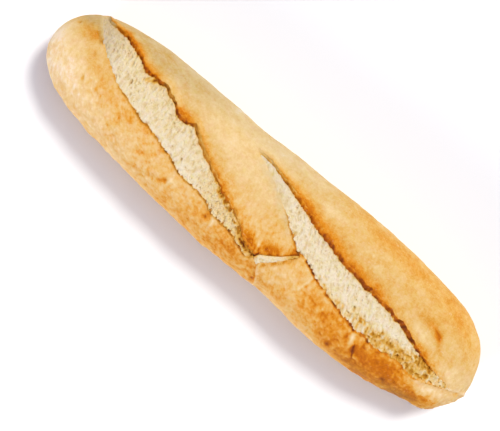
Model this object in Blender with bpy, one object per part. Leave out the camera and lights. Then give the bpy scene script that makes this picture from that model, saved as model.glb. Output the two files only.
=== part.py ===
# A short baguette (demi-baguette) lying on its flat base.
#
# One closed loaf: a long body that is round at one end and blunt at the
# other, with a flat base, two long slanting scores that opened in the oven,
# a raised ear along the back edge of each score, and a short tear across the
# strip of crust where the first score runs into the second.
#
# Metres, +Z up.  +X runs along the loaf towards the blunt end, +Y towards the
# side that the ears lean away from.  The origin is on the surface the loaf
# stands on, under the middle of its bounding box.

import math

import bmesh
import bpy
from mathutils import Vector, noise

# ---------------------------------------------------------------- dimensions
LENGTH = 0.270            # tip to tip
HEIGHT = 0.0465           # flat base to the crown
WIDEST_LINE = 0.0178      # height of the widest line above the base
BASE_CUT = 0.0040         # how much of the round underside the base flattens
END_LOWER = 0.17          # how much lower the crown is towards the tips

# half width of the body before the ends close it
HALF_WIDTH_MID = 0.0295   # at the middle, without the bulge
HALF_WIDTH_TAPER = -0.0017
BULGE = 0.0040            # extra half width of the thicker part
BULGE_X = 0.0525          # where the thicker part is
BULGE_SPREAD = 0.065

# each end closes over this length, with these two exponents
ROUND_END = (0.110, 3.35, 2.44)
BLUNT_END = (0.062, 4.00, 1.59)
NOSE_DROP = -0.0018       # the blunt end's tip leans to one side

# cross-section exponents: 2 is an ellipse, more is squarer
ROUND_TOP = 2.08
ROUND_BELOW = 2.55

# the two scores: start and end along X, the Y of four control points of the
# centre line, half width, how fast it opens and closes, how deep the crumb
# lies, how high the ear stands, and how fast the line of the ear runs down the
# side before and after the score, in radians a metre
SCORES = (
    dict(x0=-0.1205, x1=0.0120, ys=(0.0180, 0.0001, -0.0042, -0.0230),
         half=0.0223, opens=0.46, closes=0.92, depth=0.0026, ear=0.0020,
         run_in=0.0, run_out=4.0),
    dict(x0=-0.0205, x1=0.1280, ys=(0.0221, -0.0010, -0.0114, -0.0072),
         half=0.0339, opens=1.10, closes=0.83, depth=0.0026, ear=0.0020,
         run_in=4.6, run_out=0.0),
)
EAR_WIDTH = 0.0030        # across the raised ear
LIP_WIDTH = 0.0022        # over which a score's low edge drops to the crumb

# the tear between the end of the first score and the side of the second
TEAR_START = (0.0102, -0.0187)
TEAR_END = (0.0285, -0.0054)
TEAR_DEPTH = 0.0015
TEAR_WIDTH = 0.0022

RINGS = 108               # rings along the loaf
CROWD_ENDS = 1.25         # how much closer the rings lie at the ends

# Lines of points run along the loaf: two along the corners of the base and
# one along the crest of each ear.  These are the points round a ring from one
# of those lines to the next, and how much closer they lie beside an ear.
BASE_CORNER = math.radians(34.0)      # below the widest line
POINTS_BACK = 10          # base corner to the second score's ear
POINTS_STRIP = 10         # second score's ear to the first score's ear
POINTS_FRONT = 14         # first score's ear to the front base corner
POINTS_BASE = 10          # under the loaf
AROUND = POINTS_BACK + POINTS_STRIP + POINTS_FRONT + POINTS_BASE
CROWD_EAR = 0.58


# ----------------------------------------------------------------- functions
def smooth(edge0, edge1, value):
    """0 below edge0, 1 above edge1, smooth between."""
    t = min(1.0, max(0.0, (value - edge0) / (edge1 - edge0)))
    return t * t * (3.0 - 2.0 * t)


def end_closure(distance, end):
    """1 along the body, falling to 0 at the tip of an end."""
    length, power, root = end
    s = min(1.0, max(0.0, distance / length))
    return (1.0 - (1.0 - s) ** power) ** (1.0 / root)


def body_half_width(x):
    return (HALF_WIDTH_MID + HALF_WIDTH_TAPER * x / (LENGTH / 2)
            + BULGE * math.exp(-((x - BULGE_X) / BULGE_SPREAD) ** 2))


def closure(x):
    return (end_closure(x + LENGTH / 2, ROUND_END)
            * end_closure(LENGTH / 2 - x, BLUNT_END))


def centre_y(x):
    """The loaf is very nearly straight; it weaves by under a millimetre."""
    weave = -0.0007 * math.cos(2.2 * math.pi * x / LENGTH * 1.26 + 0.48)
    return weave + NOSE_DROP * smooth(0.095, 0.135, x)


def crown_height(x):
    """Height of the crown above the widest line, on the open body."""
    fuller = 0.0016 * math.exp(-((x - BULGE_X) / 0.070) ** 2)
    lower = 1.0 - END_LOWER * smooth(0.050, 0.150, abs(x - 0.008))
    return (HEIGHT - WIDEST_LINE - 0.0036 + fuller) * lower


def station(u):
    """Ring number as 0..1 to the place along X, closer at the ends."""
    half = LENGTH / 2
    if u < 0.5:
        return -half + half * (2.0 * u) ** CROWD_ENDS
    return half - half * (2.0 - 2.0 * u) ** CROWD_ENDS


def superellipse(angle, n):
    c, s = math.cos(angle), math.sin(angle)
    return (math.copysign(abs(c) ** (2.0 / n), c),
            math.copysign(abs(s) ** (2.0 / n), s))


def bezier(values, s):
    a, b, c, d = values
    r = 1.0 - s
    return a * r ** 3 + 3 * b * r * r * s + 3 * c * r * s * s + d * s ** 3


def score_span(x, score):
    """Middle and half width of a score at x, and 0..1 along it."""
    s = min(1.0, max(0.0, (x - score["x0"]) / (score["x1"] - score["x0"])))
    half = score["half"] * s ** score["opens"] * (1.0 - s) ** score["closes"]
    return bezier(score["ys"], s), half, s


def ear_angle(x, score):
    """The angle round the section where a score's ear has its crest."""
    at = min(score["x1"], max(score["x0"], x))
    middle, half, _ = score_span(at, score)
    reach = body_half_width(at) * closure(at)
    across = (middle + half + 0.45 * EAR_WIDTH - centre_y(at)) / reach
    across = max(-0.97, min(0.97, across))
    angle = math.acos(math.copysign(abs(across) ** (ROUND_TOP / 2.0), across))
    # past its ends the line runs on down the side of the loaf
    before, after = score["x0"] - x, x - score["x1"]
    if before > 0.0:
        angle -= score["run_in"] * before
    if after > 0.0:
        angle += score["run_out"] * after
    return angle


def section_angle(x, q):
    """The angle of the point at fraction q (0..1) round the ring at x."""
    stops = (-BASE_CORNER, ear_angle(x, SCORES[1]), ear_angle(x, SCORES[0]),
             math.pi + BASE_CORNER, 2.0 * math.pi - BASE_CORNER)
    counts = (POINTS_BACK, POINTS_STRIP, POINTS_FRONT, POINTS_BASE)
    j = (q % 1.0) * AROUND
    for k, count in enumerate(counts):
        if j <= count or k == 3:
            break
        j -= count
    t = j / count
    if k == 0:                              # closer at the ear it runs up to
        t += CROWD_EAR * math.sin(math.pi * t) / math.pi
    elif k == 1:                            # closer at both ears
        t -= CROWD_EAR * math.sin(2.0 * math.pi * t) / (2.0 * math.pi)
    elif k == 2:                            # closer at the ear it starts from
        t -= CROWD_EAR * math.sin(math.pi * t) / math.pi
    return stops[k] + (stops[k + 1] - stops[k]) * t


def score_offset(x, y, score):
    """How far the surface moves out (+) or in (-) beside one score."""
    middle, half, s = score_span(x, score)
    if s <= 0.0 or s >= 1.0:
        return 0.0
    from_ear = middle + half - y          # positive inside the score
    from_low = y - (middle - half)        # positive inside the score
    ends = smooth(0.0, 0.07, s) * smooth(0.0, 0.07, 1.0 - s)
    open_here = smooth(0.0, 0.006, half)
    # the crumb lies deepest under the ear and comes up to the low edge
    inside = (smooth(-0.0006, 0.0012, from_ear)
              * smooth(-0.0004, LIP_WIDTH, from_low))
    across = from_ear / max(2.0 * half, 1e-6)
    fall = score["depth"] * inside * open_here * (1.0 - 0.62 * min(1.0, max(0.0, across)))
    # the ear stands up just outside the back edge
    ridge = math.exp(-((from_ear + 0.45 * EAR_WIDTH) / (0.55 * EAR_WIDTH)) ** 2)
    if from_ear > 0.0:
        ridge *= math.exp(-(from_ear / 0.0008) ** 2)
    return score["ear"] * ridge * ends * (0.5 + 0.5 * open_here) - fall * ends


def tear_offset(x, y):
    ax, ay = TEAR_START
    bx, by = TEAR_END
    dx, dy = bx - ax, by - ay
    length = math.hypot(dx, dy)
    along = ((x - ax) * dx + (y - ay) * dy) / length
    across = ((x - ax) * dy - (y - ay) * dx) / length   # + on the far side
    if along < -TEAR_WIDTH or along > length + TEAR_WIDTH:
        return 0.0
    ends = (smooth(-TEAR_WIDTH, TEAR_WIDTH, along)
            * smooth(-TEAR_WIDTH, TEAR_WIDTH, length - along))
    return -TEAR_DEPTH * ends * math.exp(-((across - 0.0008) / TEAR_WIDTH) ** 2)


def unevenness(p):
    """Slow swells of the crust, a few tenths of a millimetre."""
    slow = noise.noise(Vector((p[0] * 22.0, p[1] * 38.0, p[2] * 38.0 + 4.7)))
    fine = noise.noise(Vector((p[0] * 70.0 + 9.1, p[1] * 95.0, p[2] * 95.0)))
    return 0.00055 * slow + 0.00022 * fine


def loaf_point(u, angle):
    """The point of the crust at ring position u and the angle round it."""
    x = station(u)
    close = closure(x)
    half_w = body_half_width(x) * close
    mid_y = centre_y(x)
    # the ends are a little flatter than they are wide
    up = crown_height(x) * close
    down = (WIDEST_LINE + BASE_CUT) * close ** 0.72
    if math.sin(angle) >= 0.0:
        cy, cz = superellipse(angle, ROUND_TOP)
        y, z = half_w * cy, up * cz
    else:
        cy, cz = superellipse(angle, ROUND_BELOW)
        y, z = half_w * cy, down * cz
    if close > 0.0:
        reach = math.hypot(y, z)
        move = unevenness((x, y, z)) * smooth(0.0, 0.5, close)
        if z > 0.0:
            for score in SCORES:
                move += score_offset(x, mid_y + y, score)
            move += tear_offset(x, mid_y + y)
        scale = max(0.05, (reach + move) / max(reach, 1e-6))
        y, z = y * scale, z * scale
    # the base is cut flat
    return Vector((x, mid_y + y, max(0.0, WIDEST_LINE + z)))


# --------------------------------------------------------------------- build
for old in list(bpy.data.objects):
    bpy.data.objects.remove(old, do_unlink=True)

collection = bpy.data.collections.new("baguette")
bpy.context.scene.collection.children.link(collection)

# a ball with its poles at the two tips, drawn out into the loaf
bm = bmesh.new()
bmesh.ops.create_uvsphere(bm, u_segments=AROUND, v_segments=RINGS, radius=1.0)
for v in bm.verts:
    u = 1.0 - math.acos(max(-1.0, min(1.0, v.co.z))) / math.pi
    q = round(math.atan2(v.co.y, v.co.x) / (2.0 * math.pi) * AROUND) / AROUND
    v.co = loaf_point(u, section_angle(station(u), q))

# bring the box's middle over the origin
xs = [v.co.x for v in bm.verts]
ys = [v.co.y for v in bm.verts]
shift = Vector((-(min(xs) + max(xs)) / 2, -(min(ys) + max(ys)) / 2, 0.0))
bmesh.ops.translate(bm, verts=bm.verts, vec=shift)
bmesh.ops.recalc_face_normals(bm, faces=bm.faces)

mesh = bpy.data.meshes.new("loaf")
bm.to_mesh(mesh)
bm.free()
mesh.shade_smooth()
loaf = bpy.data.objects.new("loaf", mesh)
collection.objects.link(loaf)

crust = bpy.data.materials.new("crust")
crust.use_nodes = True
shader = crust.node_tree.nodes["Principled BSDF"]
shader.inputs["Base Color"].default_value = (0.78, 0.52, 0.24, 1.0)
shader.inputs["Roughness"].default_value = 0.62
shader.inputs["Metallic"].default_value = 0.0
mesh.materials.append(crust)

top = max(v.co.z for v in mesh.vertices)
print("loaf: %d triangles, crown at %.1f mm, moved by %.2f, %.2f mm"
      % (sum(len(p.vertices) - 2 for p in mesh.polygons), top * 1000,
         shift.x * 1000, shift.y * 1000))
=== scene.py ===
import math

import bpy
import numpy as np
from mathutils import Matrix, Vector


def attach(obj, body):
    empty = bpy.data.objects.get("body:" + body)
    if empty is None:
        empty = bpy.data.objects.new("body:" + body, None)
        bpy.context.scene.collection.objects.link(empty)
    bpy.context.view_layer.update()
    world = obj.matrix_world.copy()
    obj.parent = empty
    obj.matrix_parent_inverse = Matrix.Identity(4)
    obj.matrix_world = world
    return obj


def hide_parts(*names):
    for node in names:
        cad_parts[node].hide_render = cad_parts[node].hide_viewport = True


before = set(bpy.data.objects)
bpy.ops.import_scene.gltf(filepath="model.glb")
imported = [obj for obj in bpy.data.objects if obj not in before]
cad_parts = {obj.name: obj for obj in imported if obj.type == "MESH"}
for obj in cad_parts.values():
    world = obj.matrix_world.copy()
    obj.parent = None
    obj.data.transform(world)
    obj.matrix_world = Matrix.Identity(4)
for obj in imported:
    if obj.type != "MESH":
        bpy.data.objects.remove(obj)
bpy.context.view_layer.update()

# =============================================================================
# A short pale baguette.  The crust is one closed skin whose mesh lines run
# along the two ears and the two low edges of the scores; the crumb that shows
# in each score is a closed piece of its own lying in the crust's channel.
#
# Lengths are millimetres until the meshes are written.  Places on the top are
# given on a plan of the loaf: t runs along it (left tip -277, right tip 268),
# w across it (up = the side of the ears), one unit is 0.493 mm.  The plan is
# drawn as seen from the camera's height, so a place on the crown is a little
# nearer the middle in the solid than on the plan.
# =============================================================================
UNIT = 0.493
T_MID = -3.75                 # t at x = 0
WIDEST = 17.8                 # height of the widest line
BASE_CUT = 4.0
HEIGHT = 46.5
LENS = 120.0
VIEW_X, VIEW_Y = -3.11, -6.37            # the point under the camera
VIEW_Z = WIDEST + 500 * UNIT * LENS / 36.0


# ----------------------------------------------------------------- small maths
def smooth(a, b, v):
    t = np.clip((v - a) / (b - a), 0.0, 1.0)
    return t * t * (3.0 - 2.0 * t)


def table(rows, spread=0.0, column=1):
    """A curve through (t, value) rows, rounded off by a Gaussian of this spread."""
    rows = np.array(rows, float)
    grid = np.arange(rows[0, 0], rows[-1, 0] + 0.25, 0.25)
    v = np.interp(grid, rows[:, 0], rows[:, column])
    if spread > 0.0:
        n = int(4 * spread / 0.25)
        k = np.exp(-0.5 * (np.arange(-n, n + 1) * 0.25 / spread) ** 2)
        lo = 2 * v[0] - v[1:n + 1][::-1]
        hi = 2 * v[-1] - v[-n - 1:-1][::-1]
        v = np.convolve(np.concatenate([lo, v, hi]), k / k.sum(), "valid")
    return lambda t: np.interp(t, grid, v)


def hash01(ix, iy, iz, seed):
    h = (ix.astype(np.uint32) * np.uint32(374761393)
         + iy.astype(np.uint32) * np.uint32(668265263)
         + iz.astype(np.uint32) * np.uint32(2246822519)
         + np.uint32(seed * 7919 + 12345))
    h = (h ^ (h >> np.uint32(13))) * np.uint32(1274126177)
    h = (h ^ (h >> np.uint32(15))) * np.uint32(2654435761)
    return ((h ^ (h >> np.uint32(16))) >> np.uint32(8)).astype(np.float64) / 16777216.0


def noise(p, size, seed=0):
    """Gradient noise, about -1..1, with bumps of this size (a number or three)."""
    q = np.asarray(p, float) / np.asarray(size, float)
    i = np.floor(q).astype(np.int64)
    f = q - i
    u = f * f * f * (f * (f * 6 - 15) + 10)
    out = np.zeros(q.shape[:-1])
    for cx in (0, 1):
        for cy in (0, 1):
            for cz in (0, 1):
                jx, jy, jz = i[..., 0] + cx, i[..., 1] + cy, i[..., 2] + cz
                az = hash01(jx, jy, jz, seed) * 2 * math.pi
                el = hash01(jx, jy, jz, seed + 101) * 2 - 1
                r = np.sqrt(1 - el * el)
                g = (np.cos(az) * r * (f[..., 0] - cx)
                     + np.sin(az) * r * (f[..., 1] - cy) + el * (f[..., 2] - cz))
                wt = ((u[..., 0] if cx else 1 - u[..., 0])
                      * (u[..., 1] if cy else 1 - u[..., 1])
                      * (u[..., 2] if cz else 1 - u[..., 2]))
                out += g * wt
    return out * 1.7


def fbm(p, size, octaves=3, seed=0, gain=0.5):
    s, a, total = 0.0, 1.0, 0.0
    size = np.asarray(size, float)
    for k in range(octaves):
        s = s + a * noise(p, size, seed + 17 * k)
        total += a
        a *= gain
        size = size / 2.03
    return s / total * 1.25


def cells(p, size, seed=0):
    """Distance to the nearest of scattered points, one a cell, and its own
    random number.  Distances are in cells."""
    q = np.asarray(p, float) / np.asarray(size, float)
    i = np.floor(q).astype(np.int64)
    best = np.full(q.shape[:-1], 9.0)
    own = np.zeros(q.shape[:-1])
    for dx in (-1, 0, 1):
        for dy in (-1, 0, 1):
            for dz in (-1, 0, 1):
                jx, jy, jz = i[..., 0] + dx, i[..., 1] + dy, i[..., 2] + dz
                ox = jx + hash01(jx, jy, jz, seed) - q[..., 0]
                oy = jy + hash01(jx, jy, jz, seed + 1) - q[..., 1]
                oz = jz + hash01(jx, jy, jz, seed + 2) - q[..., 2]
                d = np.sqrt(ox * ox + oy * oy + oz * oz)
                near = d < best
                best = np.where(near, d, best)
                own = np.where(near, hash01(jx, jy, jz, seed + 3), own)
    return best, own


def to_plan(p):
    """Solid millimetres to plan units."""
    k = (VIEW_Z - WIDEST) / (VIEW_Z - p[..., 2])
    x = VIEW_X + (p[..., 0] - VIEW_X) * k
    y = VIEW_Y + (p[..., 1] - VIEW_Y) * k
    return x / UNIT + T_MID, y / UNIT


# ------------------------------------------------------------------ the layout
# the outline seen from above: t, edge on the ears' side, edge on the low side
OUTLINE = [
    (-275, 14.8, -15.6), (-262.5, 34.5, -32), (-250, 42.5, -41), (-237.5, 48.5, -46),
    (-225, 52.5, -49.5), (-212.5, 54.5, -51.5), (-200, 56.5, -54), (-187.5, 58.5, -56),
    (-175, 60, -57), (-150, 60, -59.5), (-125, 60.5, -61.5), (-100, 60.5, -63.5),
    (-75, 60.5, -64), (-50, 60.5, -65.5), (-25, 62, -66), (0, 64, -65.5),
    (25, 64.5, -64.5), (50, 66, -63.5), (75, 66.5, -64.5), (100, 67.5, -66.5),
    (112.5, 67.5, -67), (125, 67, -67), (150, 66, -65.5), (175, 64, -63),
    (200, 61, -58.3), (212.5, 59, -54.4), (225, 54.8, -51.2), (237.5, 48.2, -48.5),
    (245, 43.5, -46.8), (250, 38.8, -43.8), (257, 30.2, -33.5), (262.5, 17.5, -25),
]
T_LEFT, T_RIGHT = -277.0, 268.6

# the edges of the two scores: t, w
EAR_1 = [(-262, 49), (-252, 47), (-246, 45), (-242, 42.5), (-230, 42), (-220, 42), (-210, 39), (-204, 37), (-198, 35.5),
         (-193, 33.8), (-188, 30), (-183, 28), (-177, 28), (-171, 28), (-164, 27.5), (-160, 29.5),
         (-154.5, 29), (-151.5, 25.5), (-146, 25), (-142, 23.5), (-139, 22.5), (-136, 19), (-132, 15.5),
         (-125, 14.5), (-118, 15), (-113, 17), (-110, 19), (-107, 15.5), (-103, 13.5), (-99, 12.5),
         (-96, 8.5), (-91, 7), (-88, 6), (-85, 2.5), (-80, 0.5), (-76, 0.5), (-70, -3.6), (-64, -5.4),
         (-60, -7.5), (-54, -8.5), (-50, -10.5), (-47, -14.8), (-43, -13.5), (-38, -17.3), (-34, -16.6), (-29, -20), (-25, -20.5),
         (-20, -23), (-10, -27.6), (-5, -31.4), (0, -35.5), (10, -39), (15, -39), (22, -39.5)]
# how brown each torn face is, and how olive
TONE_1 = [(-262, 0.70), (-240, 0.80), (-225, 0.90), (-205, 0.93), (-180, 0.95), (-165, 0.94), (-150, 0.90), (-135, 0.95),
          (-115, 0.95), (-104, 0.84), (-92, 0.82), (-80, 0.85), (-68, 0.78), (-56, 0.77), (-48, 0.88), (-42, 0.74),
          (-37, 0.88), (-32, 0.72), (-27, 0.80), (-18, 0.74), (-10, 0.84), (0, 0.84), (8, 0.84), (22, 0.84)]
TONE_2 = [(-48, 0.45), (-30, 0.54), (-10, 0.74), (0, 0.85), (20, 0.94), (60, 0.96), (110, 0.97), (118, 0.98), (125, 1.02),
          (131, 0.92), (140, 0.88), (152, 0.92), (160, 0.99), (167, 0.92), (172, 1.05), (190, 1.06), (202, 0.98), (215, 0.88), (224, 0.80), (232, 0.64), (258, 0.4)]
OLIVE_1 = [(-262, 0.6), (-235, 0.3), (-220, 0.0), (-164, 0.0), (-160, 0.9), (-141, 0.9), (-136, 0.1), (-114, 0.1),
           (-110, 0.9), (-86, 0.8), (-76, 0.6), (-60, 0.5), (-54, 0.0), (-30, 0.1), (-24, 0.7), (-12, 0.5), (-8, 0.0), (22, 0.0)]
# how much paler the top of the torn face is than its foot
FADE_1 = [(-262, .2), (-212, .15), (-200, .06), (-165, .10), (-160, .04), (-140, .06), (-134, .10), (-113, .10), (-107, .05),
          (-90, .10), (-60, .14), (22, .08)]
FADE_2 = [(-48, .2), (0, .16), (40, .13), (110, .13), (118, .03), (130, .05), (135, .12), (150, .10), (168, .10),
          (172, .02), (200, .02), (205, .15), (258, .2)]
# how deep the crumb lies under the ear
DEEP_1 = [(-262, .7), (-70, .7), (-50, .32), (-15, .22), (22, .12)]
DEEP_2 = [(-48, .5), (0, .6), (30, .7), (195, .7), (222, .30), (258, .15)]
LOW_1 = [(-262, 44), (-252, 39), (-247, 34), (-240, 27), (-235, 22), (-230, 18), (-220, 11.5), (-210, 6.5),
         (-200, 0), (-190, -3.5), (-180, -5), (-170, -8.5), (-160, -11), (-150, -14),
         (-145, -12), (-140, -14), (-130, -17), (-120, -18.8), (-110, -21.4),
         (-100, -25), (-90, -28.4), (-80, -29.2), (-70, -29.5), (-60, -30), (-50, -33),
         (-40, -37.5), (-30, -38), (-20, -37), (-10, -40), (0, -44), (10, -46.5),
         (15, -46), (22, -43)]
EAR_2 = [(-48, 43.5), (-45, 43), (-30, 42), (-20, 39.5), (-10, 37), (0, 35), (10, 32), (20, 29.5),
         (30, 27), (40, 24), (50, 21), (60, 19), (70, 17), (80, 14.5), (90, 12.5),
         (100, 11), (110, 10.5), (120, 9), (125, 7), (130, 9), (140, 7.6), (150, 6.6),
         (160, 6.2), (164.5, 4.5), (167.5, 2.6), (170.5, 3.7), (174, 4.0), (180, 2.0), (190, -1.5), (200, -4),
         (210, -6), (220, -8), (230, -10), (250, -11), (258, -13)]
LOW_2 = [(-48, 41), (-40, 38), (-30, 35), (-20, 31), (-10, 26), (0, 20), (10, 14), (20, 10),
         (30, 3), (35, 0), (40, -3), (45, -7), (53, -10), (60, -10), (70, -13),
         (80, -18), (90, -20.5), (100, -22.5), (110, -25), (120, -27), (130, -29),
         (140, -30.5), (143, -32), (150, -31), (160, -30), (170, -33), (180, -29.5),
         (190, -28.5), (200, -27), (210, -29), (220, -29), (230, -25), (240, -21),
         (250, -17.5), (258, -14.5)]
# how wide the torn brown face of each ear is, in mm
FACE_1 = [(-262, 0.3), (-245, 0.7), (-228, 0.9), (-212, 1.2), (-203, 1.7), (-196, 1.3), (-190, 1.4), (-184, 1.9),
          (-177, 1.3), (-170, 1.8), (-163, 1.6), (-160, 1.0), (-155, 1.3), (-152, 1.7), (-147, 1.3), (-141, 1.0), (-136, 1.5),
          (-124, 1.5), (-113, 1.4), (-110, 1.2), (-106, 2.1), (-100, 1.3), (-95, 2.2), (-89, 1.3), (-84, 2.2), (-76, 1.4),
          (-68, 1.5), (-61, 2.0), (-54, 1.0), (-47, 2.4), (-42, 1.3), (-37, 2.4), (-32, 1.1), (-26, 1.7), (-16, 1.1),
          (-8, 2.1), (6, 2.4), (14, 2.0), (22, 0.7)]
FACE_2 = [(-48, 0.3), (-20, 0.9), (0, 1.4), (25, 2.0), (50, 2.3), (130, 2.3), (160, 2.0), (170, 2.0), (180, 2.7), (191, 2.3),
          (200, 1.7), (220, 1.1), (240, 0.6), (258, 0.3)]
SCORES = [
    dict(ear=table(EAR_1, 0.9), low=table(LOW_1, 1.2), face=table(FACE_1, 1.2), tone=table(TONE_1, 1.0), fade=table(FADE_1, 1.0), deep=table(DEEP_1, 3.0), olive=table(OLIVE_1, 1.5), t0=-262.0, t1=22.0,
         # how much of the full lip and channel there is along the score
         lip=table([(-262, 0), (-252, 0.15), (-242, 0.65), (-228, 0.85), (-140, 0.9),
                    (-128, 1.25), (-112, 1.2), (-100, 0.9), (-60, 0.7), (-30, 0.55),
                    (-12, 0.42), (5, 0.34), (22, 0.15)], 2.0),
         cut=table([(-262, 0), (-251, 0.0), (-245, 0.52), (-236, 0.82), (-226, 1), (10, 1), (22, 0.3)], 1.5),
         rim=table([(-262, 0), (-250, 0), (-240, 0.25), (-205, 0.35), (-185, 1.1), (-160, 1.2), (-153, 0.8), (-138, 0.9), (-125, 1.5),
                    (-95, 1.6), (-75, 1.2), (-50, 1.25), (-20, 1.3), (-8, 0.7), (22, 0.5)], 2.0),
         seed=11),
    dict(ear=table(EAR_2, 1.3), low=table(LOW_2, 1.2), face=table(FACE_2, 3.0), tone=table(TONE_2, 1.5), fade=table(FADE_2, 1.0), deep=table(DEEP_2, 3.0),
         olive=table([(-48, 0.8), (0, 0.5), (20, 0.0), (258, 0.1)], 2.0), t0=-48.0, t1=258.0,
         lip=table([(-48, 0), (-35, 0.35), (-10, 0.6), (20, 1.0), (150, 1.0),
                    (200, 0.8), (216, 0.64), (228, 0.44), (239, 0.12), (258, 0)], 2.0),
         cut=table([(-48, 0), (-38, 0.6), (-20, 1), (245, 1), (258, 0)], 1.5),
         rim=table([(-48, 0), (5, 0.0), (14, 0.4), (30, 0.75), (42, 0.6), (54, 0.9), (60, 2.0), (74, 1.9), (80, 2.1), (89, 1.7),
                    (96, 1.15), (112, 1.3), (120, 1.3), (130, 0.8), (138, 1.0), (145, 0.3), (149, 0.3), (153, 1.2), (163, 1.2), (168, 0.6), (172, 0.4),
                    (230, 0.5), (258, 0)], 1.0),
         seed=47),
]
CHANNEL = 3.1                 # depth of the channel under the crumb


# --------------------------------------------------------------- the base form
_o = np.array(OUTLINE, float)
_edge_t = np.concatenate([[T_LEFT], _o[:, 0], [T_RIGHT]])
_half2 = np.concatenate([[0], ((_o[:, 1] - _o[:, 2]) / 2) ** 2, [0]])
_mid = np.concatenate([[-0.5], (_o[:, 1] + _o[:, 2]) / 2, [-7.0]])
half2_of = table(np.c_[_edge_t, _half2], 3.0)
mid_of = table(np.c_[_edge_t, _mid], 4.0)


def closure(x, length, power, root, tip):
    s = np.clip((x - tip) / length if length > 0 else (tip - x) / -length, 0, 1)
    return (1 - (1 - s) ** power) ** (1 / root)


def form(x):
    """Half width, middle, height of crown and depth of underside at x."""
    t = x / UNIT + T_MID
    tips = np.clip((t - T_LEFT) * (T_RIGHT - t), 0, None)
    half = np.sqrt(np.clip(half2_of(t), 0, None)) * UNIT
    # the outline's square closes linearly at each tip
    half = np.where(tips > 0, half, 0.0)
    xl, xr = (T_LEFT - T_MID) * UNIT, (T_RIGHT - T_MID) * UNIT
    c = closure(x, 110.0, 3.35, 2.44, xl) * closure(x, -62.0, 4.0, 1.59, xr)
    lower = 1 - 0.17 * smooth(50.0, 150.0, np.abs(x - 8.0))
    up = (HEIGHT - WIDEST - 3.6 + 1.6 * np.exp(-((x - 52.5) / 70.0) ** 2)) * lower * c
    down = (WIDEST + BASE_CUT) * c ** 0.72
    return half, mid_of(t) * UNIT, up, down


M = 1440                      # samples round each section
_phi = -0.5 * math.pi + np.arange(M + 1) / M * 2 * math.pi


def sections(x):
    """Points (rings, M+1, 3) round the base form at each x, their outward
    normals and the distance round each ring, from the middle of the base over
    the ears' side."""
    x = np.asarray(x, float)
    half, mid, up, down = (v[:, None] for v in form(x))
    c, s = np.cos(_phi)[None], np.sin(_phi)[None]
    n = np.where(s >= 0, 2.08, 2.08 + 0.47 * smooth(0.0, 0.5, -s))
    y = half * np.sign(c) * np.abs(c) ** (2 / n)
    z = np.where(s >= 0, up, down) * np.sign(s) * np.abs(s) ** (2 / n)
    z = WIDEST + z
    k = 1.1
    z = 0.5 * (z + np.sqrt(z * z + k * k)) - 0.04
    p = np.stack([np.repeat(x[:, None], M + 1, 1), mid + y, np.maximum(z, 0.0)], -1)
    dphi = np.empty_like(p)
    dphi[:, 1:-1] = p[:, 2:] - p[:, :-2]
    dphi[:, 0] = dphi[:, -1] = p[:, 1] - p[:, -2]
    dx = np.gradient(p, x, axis=0)
    nrm = np.cross(dphi, dx)
    nrm /= np.maximum(np.linalg.norm(nrm, axis=-1, keepdims=True), 1e-9)
    out = p - np.stack([x, mid[:, 0], np.full_like(x, WIDEST)], -1)[:, None]
    if (nrm * out).sum() < 0:
        nrm = -nrm
    step = np.linalg.norm(np.diff(p, axis=1), axis=-1)
    arc = np.concatenate([np.zeros((len(x), 1)), np.cumsum(step, 1)], 1)
    return p, nrm, arc


def on_rings(p, nrm, arc, s):
    """Points and normals at distances s (rings, k) round each ring."""
    out = np.empty(s.shape + (3,))
    on = np.empty(s.shape + (3,))
    for i in range(len(s)):
        for a in range(3):
            out[i, :, a] = np.interp(s[i], arc[i], p[i, :, a])
            on[i, :, a] = np.interp(s[i], arc[i], nrm[i, :, a])
    on /= np.maximum(np.linalg.norm(on, axis=-1, keepdims=True), 1e-9)
    # across: round the ring, square to the normal
    tang = np.cross(on, np.array([1.0, 0.0, 0.0]))
    tang /= np.maximum(np.linalg.norm(tang, axis=-1, keepdims=True), 1e-9)
    flip = np.sign((tang * np.gradient(out, axis=1)).sum(-1, keepdims=True))
    flip[flip == 0] = 1
    return out, on, tang * flip


def crossing(p, arc, line, shift):
    """Where round each ring a line of the plan crosses it, or NaN."""
    lo, hi = int(M * 0.25), int(M * 0.75) + 1
    t, w = to_plan(p[:, lo:hi])
    f = w - (line(t) + shift(t))
    res = np.full(len(p), np.nan)
    for i in range(len(p)):
        below = np.nonzero(f[i] < 0)[0]
        if len(below) and below[0] > 0:
            b = below[0]
            a = f[i, b - 1] / (f[i, b - 1] - f[i, b])
            res[i] = arc[i, lo + b - 1] + a * (arc[i, lo + b] - arc[i, lo + b - 1])
    return res


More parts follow.
